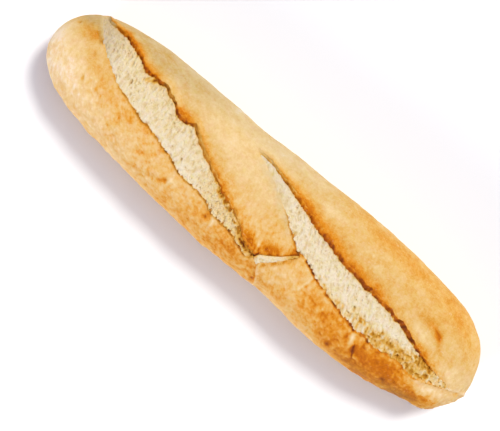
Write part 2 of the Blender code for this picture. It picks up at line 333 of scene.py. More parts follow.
def anchors(x, p, arc):
    """Distances round each ring of: back base corner, ear 2, low 2, ear 1,
    low 1, front base corner, and the ring's length."""
    t = x / UNIT + T_MID
    total = arc[:, -1]
    corner = np.array([np.interp(math.radians(-52), _phi, a) for a in arc]) / total
    lines = {}
    for k, sc in enumerate(SCORES):
        for name in ("ear", "low"):
            if name == "ear":
                shift = lambda v, sc=sc: sc["face"](v) / UNIT - 0.8
            else:
                shift = lambda v, k=k: (0.8 * noise(np.stack([v, 0 * v, 0 * v + 5.0 * k], -1), 9.0, 31 + k)
                                        + 0.55 * noise(np.stack([v, 0 * v, 0 * v + 5.0 * k], -1), 3.1, 35 + k))
            lines[name + str(k + 1)] = crossing(p, arc, sc[name], shift) / total

    def ends(name, ta, tb):
        f = lines[name]
        ok = np.isfinite(f) & (t >= ta) & (t <= tb)
        return f, ok, f[ok][0], f[ok][-1], t[ok][0], t[ok][-1]

    out = []
    f, ok, a, b, ta, tb = ends("ear2", -45, 256)
    out.append(np.where(ok, f, np.interp(t, [-290, -246, -160, -100, ta, tb, 280],
                                         [.115, .12, .17, .21, a, b, b])))
    f, ok, a, b, ta, tb = ends("low2", -45, 256)
    out.append(np.where(ok, f, np.interp(t, [-290, -246, -160, -100, ta, tb, 280],
                                         [.15, .155, .24, .28, max(a, out[0][ok][0] + .004), b, b + .004])))
    f, ok, a, b, ta, tb = ends("ear1", -246, 20)
    out.append(np.where(ok, f, np.interp(t, [-290, -262, ta, tb, 60, 150, 280],
                                         [.20, .205, a, b, .735, .765, .80])))
    f, ok, a, b, ta, tb = ends("low1", -246, 20)
    out.append(np.where(ok, f, np.interp(t, [-290, -262, ta, tb, 60, 150, 280],
                                         [.24, .215, a, b, .79, .825, .85])))
    f = np.stack([corner, *out, 1 - corner, np.ones_like(t)], 1)
    for k in range(1, 6):                      # keep them in order
        f[:, k] = np.maximum(f[:, k], f[:, k - 1] + 0.006)
    for k in range(4, 0, -1):
        f[:, k] = np.minimum(f[:, k], f[:, k + 1] - 0.006)
    return f * total[:, None]


def t_seen(p, arc, s):
    """The plan's t at distance s round each ring."""
    q = np.array([[np.interp(s[i], arc[i], p[i, :, a]) for a in range(3)] for i in range(len(s))])
    return to_plan(q)[0]


def mesh_object(name, verts, quads, tris=()):
    me = bpy.data.meshes.new(name)
    quads = np.asarray(quads, np.int32).reshape(-1, 4)
    tris = np.asarray(tris, np.int32).reshape(-1, 3)
    me.vertices.add(len(verts))
    me.vertices.foreach_set("co", (np.asarray(verts) / 1000.0).astype(np.float32).ravel())
    loops = np.concatenate([quads.ravel(), tris.ravel()])
    me.loops.add(len(loops))
    me.loops.foreach_set("vertex_index", loops)
    starts = np.concatenate([np.arange(len(quads)) * 4, len(quads) * 4 + np.arange(len(tris)) * 3])
    me.polygons.add(len(starts))
    me.polygons.foreach_set("loop_start", starts.astype(np.int32))
    me.polygons.foreach_set("use_smooth", np.ones(len(starts), bool))
    me.update(calc_edges=True)
    me.validate()
    ob = bpy.data.objects.new(name, me)
    bpy.context.scene.collection.objects.link(ob)
    return ob


def attribute(ob, name, values):
    a = ob.data.attributes.new(name, "FLOAT", "POINT")
    a.data.foreach_set("value", np.asarray(values, np.float32).ravel())


def tube(name, grid, start, end, attrs):
    """A closed skin from rings of points (rings, around, 3) and two end points.
    attrs are name: (values on the grid, value at start, value at end)."""
    nr, nc = grid.shape[:2]
    verts = np.concatenate([grid.reshape(-1, 3), [start], [end]])
    i, j = np.meshgrid(np.arange(nr - 1), np.arange(nc), indexing="ij")
    j2 = (j + 1) % nc
    quads = np.stack([i * nc + j, i * nc + j2, (i + 1) * nc + j2, (i + 1) * nc + j], -1).reshape(-1, 4)
    j = np.arange(nc)
    j2 = (j + 1) % nc
    a = np.stack([np.full(nc, nr * nc), j2, j], -1)
    b = np.stack([np.full(nc, nr * nc + 1), (nr - 1) * nc + j, (nr - 1) * nc + j2], -1)
    tris = np.concatenate([a, b])
    # faces point out
    c = verts.mean(0)
    tri = np.concatenate([quads[:, :3], quads[:, [0, 2, 3]], tris])
    v = verts[tri] - c
    vol = np.einsum("ij,ij->i", v[:, 0], np.cross(v[:, 1], v[:, 2])).sum()
    if vol < 0:
        quads, tris = quads[:, ::-1], tris[:, ::-1]
    ob = mesh_object(name, verts, quads, tris)
    for key, (values, s, e) in attrs.items():
        attribute(ob, key, np.concatenate([np.asarray(values).ravel(), [s, e]]))
    return ob


# ==================================================================== CRUST
NR = 545
COUNT = (11, 28, 30, 26, 30, 46, 11)     # columns in each stretch round a ring
NC = sum(COUNT)
X_LEFT, X_RIGHT = (T_LEFT - T_MID) * UNIT, (T_RIGHT - T_MID) * UNIT

_g = np.linspace(X_LEFT, X_RIGHT, 20001)[1:-1]
_d = 1 + 3.2 * np.exp(-(_g - X_LEFT) / 3.0) + 3.2 * np.exp(-(X_RIGHT - _g) / 3.0)
_c = np.cumsum(_d)
ring_x = np.interp((np.arange(NR) + 0.35) / (NR - 0.3), _c / _c[-1], _g)

P, NRM, ARC = sections(ring_x)
ANC = anchors(ring_x, P, ARC)
ring_t = ring_x / UNIT + T_MID


def score_amounts(t, sc):
    inside = (t > sc["t0"]) & (t < sc["t1"])
    return (np.where(inside, sc["lip"](t), 0.0), np.where(inside, sc["cut"](t), 0.0),
            np.where(inside, sc["rim"](t), 0.0))


seen = [t_seen(P, ARC, ANC[:, 3]), t_seen(P, ARC, ANC[:, 1])]        # t at each ear
amounts = [score_amounts(seen[k], sc) for k, sc in enumerate(SCORES)]

# columns: closer beside a real ear or low edge
S = np.empty((NR, NC))
ear_col = (COUNT[0] + COUNT[1] + COUNT[2] + COUNT[3], COUNT[0] + COUNT[1])
low_col = (ear_col[0] + COUNT[4], ear_col[1] + COUNT[2])
for i in range(NR):
    stops = np.concatenate([[0.0], ANC[i]])
    # an anchor's pull: (place, strength, spread)
    pulls = []
    for k, (ae, al) in enumerate(((4, 5), (2, 3))):
        lip, cut, rim = (a[i] for a in amounts[k])
        pulls += [(stops[ae], 3.2 * min(1, cut), 1.9), (stops[al], 2.0 * min(1, cut), 1.1)]
    col = 0
    for k, n in enumerate(COUNT):
        s = np.linspace(stops[k], stops[k + 1], 121)
        rho = np.ones_like(s)
        if k in (1, 5):
            rho += 0.9 * smooth(0.35, 0.6, (s - s[0]) / (s[-1] - s[0]) if k == 1 else (s[-1] - s) / (s[-1] - s[0]))
        for place, strength, spread in pulls:
            rho += strength * np.exp(-((s - place) / spread) ** 2)
        cum = np.concatenate([[0], np.cumsum(0.5 * (rho[1:] + rho[:-1]))])
        S[i, col:col + n] = np.interp(np.arange(n) / n * cum[-1], cum, s)
        col += n

B, BN, BT = on_rings(P, NRM, ARC, S)
plan_t, plan_w = to_plan(B)
up_face = smooth(-0.25, 0.15, BN[..., 2])


def bump(t, w, at_t, at_w, rt, rw, turn=0.0):
    """A round hill of height 1 on the plan; rt, rw are its radii."""
    a = math.radians(turn)
    dt, dw = t - at_t, w - at_w
    u = (dt * math.cos(a) + dw * math.sin(a)) / rt
    v = (-dt * math.sin(a) + dw * math.cos(a)) / rw
    return np.exp(-(u * u + v * v))


def line(t, w, points, width):
    """1 on a bent line through the points, falling off over width, and how
    far along it (0..1) the nearest place is, and which side."""
    pts = np.array(points, float)
    seg = np.diff(pts, axis=0)
    ln = np.hypot(seg[:, 0], seg[:, 1])
    best = np.full(t.shape, 1e9)
    along = np.zeros(t.shape)
    side = np.zeros(t.shape)
    start = 0.0
    for (a, b), d, n in zip(pts[:-1], seg, ln):
        u = np.clip(((t - a) * d[0] + (w - b) * d[1]) / n ** 2, 0, 1)
        ex, ey = t - a - u * d[0], w - b - u * d[1]
        r = np.hypot(ex, ey)
        near = r < best
        best = np.where(near, r, best)
        along = np.where(near, (start + u * n) / ln.sum(), along)
        side = np.where(near, np.sign(ex * d[1] - ey * d[0]), side)
        start += n
    return np.exp(-(best / width) ** 2), along, side * best


# ---- relief of the skin, along the normal
move_n = np.zeros_like(S)
move_t = np.zeros_like(S)
close = smooth(0.0, 6.0, np.minimum(B[..., 0] - X_LEFT, X_RIGHT - B[..., 0]))
foot = smooth(0.5, 7.0, B[..., 2])                  # the base stays flat
low_side = smooth(6.0, -8.0, B[..., 1]) * up_face        # the wrinkled side
grain = fbm(B, (3.2, 2.4, 2.4), 2, 9)
fine = noise(B, 1.4, 13)
move_n += (0.34 * fbm(B, 26.0, 2, 3) + (0.20 + 0.26 * low_side) * fbm(B, 7.0, 2, 5)) * close * foot
move_n += (0.07 + 0.30 * low_side) * grain * foot
move_n += (0.02 + 0.14 * low_side) * fine * foot
blister, own = cells(B, 4.6, 21)
move_n += 0.10 * smooth(0.34, 0.0, blister) * (own > 0.55) * foot
pit, own_p = cells(B, 7.5, 33)
pits = smooth(0.11, 0.02, pit) * (own_p > 0.45)
move_n -= 0.22 * pits * foot

# dents, bumps and pits seen on this loaf: t, w, radii, turn, height in mm
DENTS = [
    (-227, -18, 3.8, 1.5, -65, -0.80), (-230, -16, 3.6, 1.6, -65, 0.30), (-209, -19, 3.6, 2.2, 0, 0.40), (-205.5, -22, 3.5, 1.0, -45, -0.42),
    (-266, 22, 2.2, 1.5, 70, -0.7), (-236.5, 21.5, 2.6, 1.4, -30, -0.7), (-234, 8, 3.0, 1.6, -50, -0.55), (-231, 6, 2.6, 1.4, -50, 0.35),
    (-270, -14, 2.4, 1.5, -30, -0.45), (-251, -17, 2.2, 1.3, -30, -0.42),
    (-177, -39, 1.8, 1.3, 0, -0.45), (-110, -48, 2.0, 1.4, 0, -0.45),
    (-43, -50, 1.6, 1.2, 0, -0.45), (-25, -58, 1.8, 1.2, 0, -0.5),
    (132, -60, 2.2, 1.4, 0, -0.5), (85, -58, 2.2, 1.2, 40, -0.45),
    (197, -50, 2.2, 1.5, 0, -0.5), (-98, -43, 3.4, 2.0, 35, -0.55),
    (-93, -42, 1.6, 5.0, -10, 0.35), (-43, -42, 3.6, 3.0, 30, -0.45),
    (-34.5, -43, 1.8, 6.0, 8, 0.40), (-175, -28, 5.0, 5.5, 0, -0.55), (-166, -30, 3.0, 5.0, 0, 0.30),
    (-133, -38, 5.0, 3.5, 20, -0.40),
    (210, 20, 6.5, 2.8, -30, -0.80), (218, 11, 7.0, 2.6, -40, 0.4),
    (-87, 60, 3.0, 2.2, 0, 0.35), (32, -60, 2.6, 2.0, 0, -0.9),
    (110, 38, 1.6, 1.6, 0, 0.18), (115, 27, 1.6, 1.4, 0, 0.18),
    (170, -52, 6, 3, 20, -0.35), (148, -56, 6, 3, 0, 0.3),
    (12, -55, 5, 3, 20, 0.25), (-10, -52, 4, 3, 20, -0.25),
    (-140, -44, 7, 4, 10, -0.2), (-70, -52, 8, 4, 10, -0.2),
]
for dt_, dw_, rt_, rw_, turn_, h_ in DENTS:
    move_n += h_ * bump(plan_t, plan_w, dt_, dw_, rt_, rw_, turn_) * up_face

# the crack and flap near the blunt end's low side
crack_v, along_v, _ = line(plan_t, plan_w, [(151, -38), (154, -43), (156.5, -48), (159.5, -54)], 1.5)
crack_v = crack_v ** np.interp(along_v, [0, 0.25, 0.45, 0.7, 0.85, 1], [5, 3, 0.8, 0.8, 3, 6])
crack_f, _, side_f = line(plan_t, plan_w, [(143.5, -32), (143, -37), (142, -42)], 1.1)
ridge_f, _, _ = line(plan_t, plan_w, [(141, -34), (136, -39), (130, -45)], 1.2)
move_n -= (0.10 * crack_v + 0.35 * crack_f - 0.25 * ridge_f) * up_face
move_n += 0.45 * bump(plan_t, plan_w, 147, -38, 3.5, 6.0, 15) * up_face
# wrinkles that fan out over the strip towards the tear
fan = np.zeros_like(S)
for a0, a1 in (((10, -19), (15, -34)), ((16, -22), (19, -33)), ((4, -22), (11, -34)), ((24, -24), (24, -30))):
    l_, _, _ = line(plan_t, plan_w, [a0, a1], 1.1)
    fan = np.maximum(fan, l_)
move_n -= 0.30 * fan * up_face
# crease at the blunt end, from the end of the second score to the low side
crease, along_c, side_c = line(plan_t, plan_w, [(222, -31), (238, -27.5), (252, -21), (264, -11)], 3.0)
move_n -= 0.55 * crease * up_face
tip_notch = bump(plan_t, plan_w, 268, -9, 3.0, 2.0)
move_n += 0.6 * tip_notch * smooth(-0.6, 0.0, BN[..., 2])
seam, _, _ = line(plan_t, plan_w, [(255, -14), (261, -11), (268, -7)], 1.3)
move_n += 0.25 * seam * up_face

# ---- the tear: the strip's torn end stands over a narrow band of crumb
TEAR = [(19, -40.5), (22.5, -35.5), (30, -31), (35, -27.5), (40, -23.5), (45, -18.5), (50, -13.5), (55, -10)]
TEAR_BAND = ([0, .13, .31, .44, .575, .72, .87, 1], [9.5, 9.0, 7.5, 5.8, 4.6, 3.6, 2.8, .5])
tear_hit, tear_along, tear_side = line(plan_t, plan_w, TEAR, 1.2)
tear_on = smooth(0.0, 0.02, tear_along) * smooth(1.0, 0.94, tear_along) * up_face
band = np.interp(tear_along, *TEAR_BAND) + 0.6 * noise(B, 2.2, 131)
e = tear_side                                            # + on the flap's side
near_tear = np.abs(e) < 30
strip_lip = 0.95 * np.exp(-(np.clip(-e, 0, None) / 5.0) ** 2) * smooth(1.0, -0.8, e)
drop = -1.1 * smooth(-0.6, 1.1, e) * smooth(band + 1.2, band - 0.8, e)
flap = 0.35 * np.exp(-((e - band - 2.5) / 3.0) ** 2)
move_n += (strip_lip + drop + flap) * tear_on * near_tear
# the crack round the flap's foot, with its pale rim, and the flap's far edge
rim_1, _, rim_side = line(plan_t, plan_w, [(27, -46), (29, -51), (33, -56), (36, -61)], 1.3)
move_n += (-0.55 * rim_1 + 0.40 * np.exp(-((rim_side + 2.0) / 1.6) ** 2) * smooth(7, 2, np.abs(rim_side))) * up_face
rim_2, _, _ = line(plan_t, plan_w, [(80.5, -19), (80, -26), (78.5, -33), (77, -38)], 1.1)
pale_2, _, _ = line(plan_t, plan_w, [(78, -19), (77.5, -26), (76, -33), (74, -37)], 1.3)
move_n += (0.25 * pale_2 - 0.30 * rim_2) * up_face

# ---- ears and channels
lip_zone = np.zeros_like(S)       # 0 far behind an ear, 1 at its edge
lip_under = np.zeros_like(S)      # 1 on the lip's underside and in the gap
in_channel = np.zeros_like(S)
low_rim = np.zeros_like(S)
olive = np.zeros_like(S)          # 1 where the browning is olive, not red; on the blunt end's low side and in small dents it is painted shade
for k, sc in enumerate(SCORES):
    lip, cut, rim = (a[:, None] for a in amounts[k])
    se, sl = ANC[:, 3 if k == 0 else 1][:, None], ANC[:, 4 if k == 0 else 2][:, None]
    width = sl - se
    d = S - se
    q = np.clip(width / 6.0, 0.15, 1.0)                # narrow scores have finer lips
    x3 = np.stack([ring_x, np.full(NR, 3.1 * sc["seed"]), np.zeros(NR)], -1)
    rag_top = (0.36 * noise(x3, 2.9, sc["seed"]) + 0.36 * noise(x3, 1.5, sc["seed"] + 1))[:, None]
    rag_foot = (0.50 * noise(x3, 3.4, sc["seed"] + 4) + 0.62 * noise(x3, 1.7, sc["seed"] + 5)
                + 0.32 * noise(x3, 1.1, sc["seed"] + 6))[:, None]
    tall = (1.0 + 0.25 * noise(x3, 5.5, sc["seed"] + 2) + 0.22 * noise(x3, 1.9, sc["seed"] + 3))[:, None]
    slim = np.clip(width / 4.0, 0.0, 1.0)
    face = sc["face"](seen[k])[:, None] * np.clip(width / 3.5, 0.1, 1.0)
    H = 1.15 * lip * tall * slim
    # behind the edge: the crust rises and is drawn forward
    back = np.clip(-d, 0, None)
    rise = H * (1 - smooth(0.0, 5.5, back)) ** 1.35
    behind = d <= 0
    move_n += np.where(behind, rise, 0.0)
    move_t += np.where(behind, rag_top * slim * smooth(2.2, 0.0, back), 0.0)
    # past the edge: down the torn face to the crumb, then under it
    dq = np.clip(d, 0, None) / q
    teeth = (0.26 * noise(B, 1.5, sc["seed"] + 7) + 0.12 * noise(B, 0.9, sc["seed"] + 8)) * slim
    go = np.interp(dq, [0.0, 0.3, 0.6, 0.9, 1.2, 1.6, 2.0, 2.4], [0.0, 0.10, 0.28, 0.50, 0.72, 0.95, 1.05, 1.10])
    fall = np.interp(dq, [0.0, 0.3, 0.6, 0.9, 1.2, 1.6, 2.0, 2.4], [0.0, 0.07, 0.26, 0.48, 0.72, 1.0, 1.35, 1.8])
    rag = rag_top + (rag_foot - rag_top) * smooth(0.2, 1.3, dq)
    t_in = face * go + rag * slim - np.clip(d, 0, None)
    t_in = t_in * (1 - smooth(2.2, 3.6, dq))
    foot_n = -1.15 * slim * sc["deep"](seen[k])[:, None]
    n_face = H + (foot_n - H) * fall + teeth * smooth(0.0, 0.5, dq)
    n_deep = -CHANNEL * slim
    n_ear = n_face + (n_deep - n_face) * smooth(1.7, 3.4, dq)
    dl = (sl - S)
    dlq = np.clip(dl, 0, None) / q
    n_low = 0.07 * rim + (n_deep - 0.07 * rim) * smooth(0.15, 2.3, dlq)
    inside = (d > 0) & (dl > 0)
    mixed = n_ear + n_low - n_deep
    move_n = np.where(inside, cut * mixed + (1 - cut) * 0.0 + move_n * (1 - cut * smooth(0.0, 0.6, dq)), move_n)
    move_t += np.where(inside, cut * t_in, 0.0)
    outside = dl <= 0
    rim_rag = (1 + 0.9 * noise(x3, 2.1, sc["seed"] + 9))[:, None]
    move_n += np.where(outside, cut * rim * 0.10 * np.exp(-(dl / 1.1) ** 2) * rim_rag, 0.0)
    amount = np.clip(lip, 0, 1.3) * (cut > 0)
    lip_zone = np.maximum(lip_zone, np.where(behind, amount * np.exp(-back / 2.6), np.where(inside, amount * smooth(3.0, 1.6, dq), 0)))
    lip_under = np.maximum(lip_under, np.where(inside, smooth(0.15, 0.7, dq) * smooth(3.6, 2.4, dq) * cut, 0))
    in_channel = np.maximum(in_channel, np.where(inside, cut * smooth(0.3, 1.0, dq), 0))
    this_rim = cut * rim * np.where(outside, np.exp(-(dl / 0.68) ** 2), smooth(2.5, 0.3, dlq)) * smooth(-1.1, 0.2, rim_rag - 1)
    low_rim = np.maximum(low_rim, this_rim)
    olive = np.maximum(olive, np.clip(this_rim, 0, 1) * (0.85 if k == 0 else 0.60 * smooth(62, 44, seen[k])[:, None] + 0.25))

crust_pts = B + BN * move_n[..., None] + BT * move_t[..., None]
crust_pts[..., 2] = np.maximum(crust_pts[..., 2], 0.0)

# ---- how brown the skin is, with some painted shade and highlight: 0 palest, 1 nearly black
BROWNING_AND_SHADE = [   # t, w, radius along, radius across, turn, amount
    (-255, -30, 34, 17, 30, -0.30), (-246, 20.5, 15, 8.5, 20, 0.27), (-208, -6, 17, 11, -20, 0.14),
    (-274, 0, 11, 16, 0, -0.46), (-252, -2, 12, 14, 0, -0.14), (-228, -3, 10, 6, -20, 0.20),
    (-178, -18, 22, 10, -18, 0.12), (-200, -42, 26, 12, -12, -0.12), (-150, -17, 14, 6, -12, 0.14),
    (-115, -38, 24, 8, -10, 0.04), (-95, -57, 40, 7, 0, 0.14), (-62, 26, 46, 20, -12, -0.23),
    (-91, -40, 8, 6, 0, -0.14), (-40, 52, 50, 14, 0, -0.14), (0, 5, 30, 14, -15, 0.0), (-30, -60, 50, 8, 0, 0.22),
    (-45, -46, 34, 8, -3, 0.20), (-8, -44, 18, 9, -5, 0.20),
    (0, -52, 16, 9, 0, 0.22), (29, -25, 14, 7, 40, 0.44), (8, -27, 10, 6, 20, 0.14), (48, -11, 7, 5, 40, 0.44),
    (14.5, -26.5, 2.2, 6, 15, -0.42), (-3, -24, 10, 4, -30, 0.10),
    (-30, -10, 26, 6, -22, -0.14), (18, -4, 12, 7, -20, 0.12), (8, -30, 12, 4, 0, 0.10),
    (50, 46, 30, 8, 0, -0.14), (62, -30, 22, 12, 20, 0.02), (60, -56, 30, 7, 0, 0.16), (30, -52, 14, 8, 0, 0.10),
    (95, -35, 16, 14, 0, 0.28), (128, -45, 24, 16, 0, 0.38), (120, 58, 70, 9, 0, 0.24),
    (165, -46, 22, 14, 0, 0.40), (195, -40, 24, 15, 10, 0.52), (231, -42.5, 20, 8, 22, 0.36),
    # the patch at (198, 10) on this row is a painted highlight below the dent
    (150, 40, 60, 18, 0, 0.08), (210, 21.0, 5.2, 3.2, -25, 0.46), (214.5, 18.0, 3.4, 3.0, -40, 0.34), (204, 23.5, 8, 3.4, -15, 0.18), (217, 15, 4, 2.4, -40, 0.14), (198, 10, 13, 5, -20, -0.30),
    (222, 8, 8, 3, -40, 0.20), (238, 5, 5, 4, 0, 0.20), (165, 16, 5, 4, 0, 0.14), (185, 24, 10, 4, -20, 0.10), (196, 24, 16, 8, -20, 0.14),
    (218, 46, 32, 14, -20, 0.20), (240, 22, 16, 10, -10, -0.06), (246, -3, 10, 6, -10, -0.20),
    (240, -28, 18, 4, 25, -0.34), (205, 1, 18, 3, -18, 0.10), (-240, 40, 10, 6, -30, 0.05),
    (228, 34, 14, 10, 0, 0.10), (176, -30, 14, 5, 0, 0.12),
    (-175, -27, 4.5, 5.5, 0, 0.26), (-177, -38, 2.5, 1.8, 0, 0.28), (-133, -37, 5, 4, 20, 0.14),
    (-100, -44, 5, 3, 45, 0.34), (-93, -42, 1.9, 5, -10, -0.36), (-43, -41, 5, 4, 30, 0.18), (-34.5, -43, 1.9, 6, 8, -0.40),
    (-28, -57, 3, 2, 0, 0.22), (-118, -22, 7, 3, -12, 0.20), (-146, -13, 3, 2, 0, 0.22), (-227, -18, 3, 2, -30, 0.22),
    (-80, -46, 3, 4, 0, -0.12), (-160, -38, 3, 5, 0, -0.12),
    (-209, -19, 4, 2.6, -30, 0.26), (-227.5, -17.5, 3.4, 1.6, -65, 0.31), (-266, 22, 2.6, 1.8, 70, 0.14),
    (-236.5, 21.5, 2.8, 1.6, -30, 0.16), (-234, 8, 2.8, 1.6, -50, 0.06), (-205.5, -22, 3.5, 1.0, -45, -0.20),
    (-210, -57, 24, 5, -6, 0.10), (215, -55, 30, 5, 14, 0.14), (246, -44, 10, 4, 32, 0.14), (165, -61, 40, 4.5, 0, 0.24), (110, 38, 1.5, 1.5, 0, -0.2), (115, 27, 1.3, 1.3, 0, -0.2),
    # the first two patches on this row, at (147, -36) and (149, -42), are a painted highlight on the raised flap
    (147, -36, 2.8, 4.0, 10, -0.50), (149, -42, 2.8, 5.0, 15, -0.40), (162, -37, 3, 2, 0, 0.12), (84, -58, 3, 1.4, 30, -0.2),
    (88, -48, 4, 2.5, 0, 0.14), (132, -59, 3.5, 2.5, 0, 0.28), (197, -49, 2.6, 2.2, 0, 0.44), (153.5, -46, 3.4, 1.5, -62, 0.18),
    (36, 1, 5, 3, -40, 0.16), (26, 8, 9, 3, -35, 0.12),
    (-87, 59, 4, 2.5, 0, -0.25), (-140, 60, 60, 5, 0, -0.16), (-264, -42, 14, 9, 35, 0.08), (-215, -28, 34, 14, -12, -0.08),
    (10, 58, 34, 6, 0, -0.16), (-124, 21.5, 9, 4.0, 0, 0.11),
    (-238, -27, 22, 8, -15, -0.06), (-92, -27, 18, 4, -6, 0.12), (20, -52, 12, 8, 0, 0.07), (62, -17, 9, 4, 0, 0.10),
    # the first patch in this row, at (222, -47), is painted shade on the low side of the blunt end
    (222, -47, 28, 8, 14, 0.16), (175, -57, 40, 6, 4, 0.14), (120, -53, 30, 8, 0, 0.06), (142, -31.5, 5, 2.4, -10, 0.22),
    (262, 4, 9, 10, 0, -0.16), (140, 34, 22, 10, 0, -0.05), (210, 36, 22, 8, -10, -0.06), (-150, -61, 50, 5, 0, -0.12),
]
bake_and_shade = np.full_like(S, 0.37)
for bt_, bw_, rt_, rw_, turn_, a_ in BROWNING_AND_SHADE:
    bake_and_shade += a_ * bump(plan_t, plan_w, bt_, bw_, rt_, rw_, turn_) * up_face
bake_and_shade += (0.055 * fbm(B, 30.0, 2, 61) + 0.085 * fbm(B, 10.0, 3, 63)
         + 0.060 * fbm(B, 3.4, 2, 65) + 0.045 * noise(B, 1.6, 67))
# painted shade and highlight: on the wrinkled low side the raised grain is painted paler and its hollows browner
bake_and_shade -= low_side * (0.19 * grain + 0.15 * fine)
# low flank: a paler band where the loaf met its neighbours' steam, browner base
flank = smooth(17.0, 8.0, B[..., 2]) * smooth(0.3, -0.3, BN[..., 2])
under = smooth(-0.55, -0.95, BN[..., 2])
bake_and_shade += flank * (0.04 + 0.05 * fbm(B, 14.0, 2, 71)) - 0.10 * flank * (1 - under)
bake_and_shade = bake_and_shade * (1 - under) + under * (0.62 + 0.10 * fbm(B, 12.0, 3, 73))
bake_and_shade = np.where(bake_and_shade > 0.78, 0.78 + 0.12 * np.tanh((bake_and_shade - 0.78) / 0.12), bake_and_shade)
# ears: an orange-brown band behind the edge, nearly black at the edge itself
band_1 = table([(-262, 0.0), (-251, 0.0), (-245, 0.24), (-238, 0.34), (-220, 0.46), (-205, 0.45), (-190, 0.40), (-168, 0.38), (-161, 0.08), (-142, 0.02), (-137, 0.06),
                (-134, 0.36), (-114, 0.38), (-110, 0.24), (-98, 0.44), (-75, 0.45), (-55, 0.42), (-45, 0.40), (-20, 0.40), (-5, 0.36), (22, 0.3)], 1.2)
band_2 = table([(-48, 0.05), (-30, 0.30), (-10, 0.40), (5, 0.36), (18, 0.33), (32, 0.42), (80, 0.43), (110, 0.41), (140, 0.36),
                (150, 0.28), (158, 0.22), (168, 0.11), (178, 0.10), (190, 0.16), (200, 0.26), (210, 0.34), (222, 0.26), (232, 0.10), (240, 0.04), (258, 0.0)], 2.0)
wide_1 = table([(-262, 1.4), (-220, 2.6), (-195, 3.6), (-165, 3.4), (-150, 1.6), (-138, 2.0), (-133, 4.4), (-114, 4.4), (-108, 3.0),
                (-95, 5.0), (-60, 4.6), (-45, 4.0), (-20, 4.0), (22, 3.2)], 1.5)
wide_2 = table([(-48, 1.4), (-10, 2.6), (15, 3.8), (40, 4.8), (80, 5.4), (120, 5.2), (150, 4.2), (170, 2.6), (200, 2.4), (215, 2.8), (230, 2.0), (258, 1.5)], 3.0)
for k, (bd, wd) in enumerate(((band_1, wide_1), (band_2, wide_2))):
    se = ANC[:, 3 if k == 0 else 1][:, None]
    sl = ANC[:, 4 if k == 0 else 2][:, None]
    lip, cut, rim = (a[:, None] for a in amounts[k])
    back = np.clip(se - S, 0, None)
    amount = bd(seen[k])[:, None] * (cut > 0.02)
    reach = wd(seen[k])[:, None] * (1 + 0.35 * noise(B, 4.0, 81 + k))
    bake_and_shade += np.where(S <= se, amount * np.exp(-(back / reach) ** 1.5), 0)
    d = np.clip(S - se, 0, None)
    q = np.clip((sl - se) / 6.0, 0.15, 1.0)
    inside = (S > se) & (S < sl)
    # the torn face, darkest at its foot, and the wall under the crumb
    mottle = 0.13 * noise(B, 1.4, 91 + k) + 0.12 * noise(B, 3.2, 93 + k)
    torn = SCORES[k]["tone"](seen[k])[:, None] + mottle - SCORES[k]["fade"](seen[k])[:, None] * smooth(0.95, 0.30, d / q)
    here = cut * smooth(-0.15, 0.35, d / q) * smooth(5.0, 3.4, d / q) * np.clip(lip * 2.6, 0, 1)
    bake_and_shade = np.where(inside, bake_and_shade + amount * smooth(5.0, 3.4, d / q), bake_and_shade)
    bake_and_shade = np.where(inside, bake_and_shade + here * (torn - bake_and_shade), bake_and_shade)
    edge = np.exp(-(back / 0.50) ** 2) * np.clip(lip * 1.3, 0, 1) * np.clip(0.14 * noise(B, 2.0, 97 + k), 0, 1)
    bake_and_shade += np.where(S <= se, cut * edge, 0)
bake_and_shade += low_rim * (0.37 + 0.13 * noise(B, 2.2, 95))
meet, meet_a, _ = line(plan_t, plan_w, [(-14, -26), (-8, -29.3), (-4, -32.6), (2, -36), (10, -38.6), (18, -38)], 2.1)
meet = 0.95 * meet ** 0.6 * smooth(0.0, 0.15, meet_a) * np.clip(0.95 + 0.9 * noise(B, 1.7, 141), 0, 1) * up_face
bake_and_shade += (0.80 - bake_and_shade) * meet
olive *= 1 - np.clip(1.5 * meet, 0, 1)
# painted shade: olive patch on the low side of the blunt end, at (218, -52)
olive = np.maximum(olive, 0.75 * bump(plan_t, plan_w, 218, -52, 36, 8, 14))
olive = np.maximum(olive, 0.45 * bump(plan_t, plan_w, 172, -60, 36, 6, 4))
soft_edge = np.exp(-(np.clip(S - ANC[:, 2][:, None], 0, None) / 3.2) ** 2) * (S >= ANC[:, 2][:, None] - 0.6)
soft_edge = soft_edge * (smooth(-46, -34, seen[1]) * smooth(40, 22, seen[1]))[:, None] * np.clip(0.8 + 0.9 * noise(B, 3.0, 127), 0, 1)
bake_and_shade -= 0.20 * soft_edge
edge_2, _, _ = line(plan_t, plan_w, [(14, 15), (22, 9), (30, 2.5), (37, -1.5), (42, -4)], 1.6)
bake_and_shade += 0.26 * edge_2 * (1 + 0.8 * noise(B, 2.4, 143)) * up_face
olive = np.maximum(olive, 0.8 * edge_2 * up_face)
# the first score starts shallow and pale
shallow = ((S > ANC[:, 3][:, None] + 0.6) & (S < ANC[:, 4][:, None] + 3.0)) * smooth(-232, -240, plan_t) * smooth(-256, -248, plan_t)
bake_and_shade += (0.16 - bake_and_shade) * 0.8 * shallow * smooth(ANC[:, 4][:, None] + 3.0, ANC[:, 4][:, None] - 0.5, S)
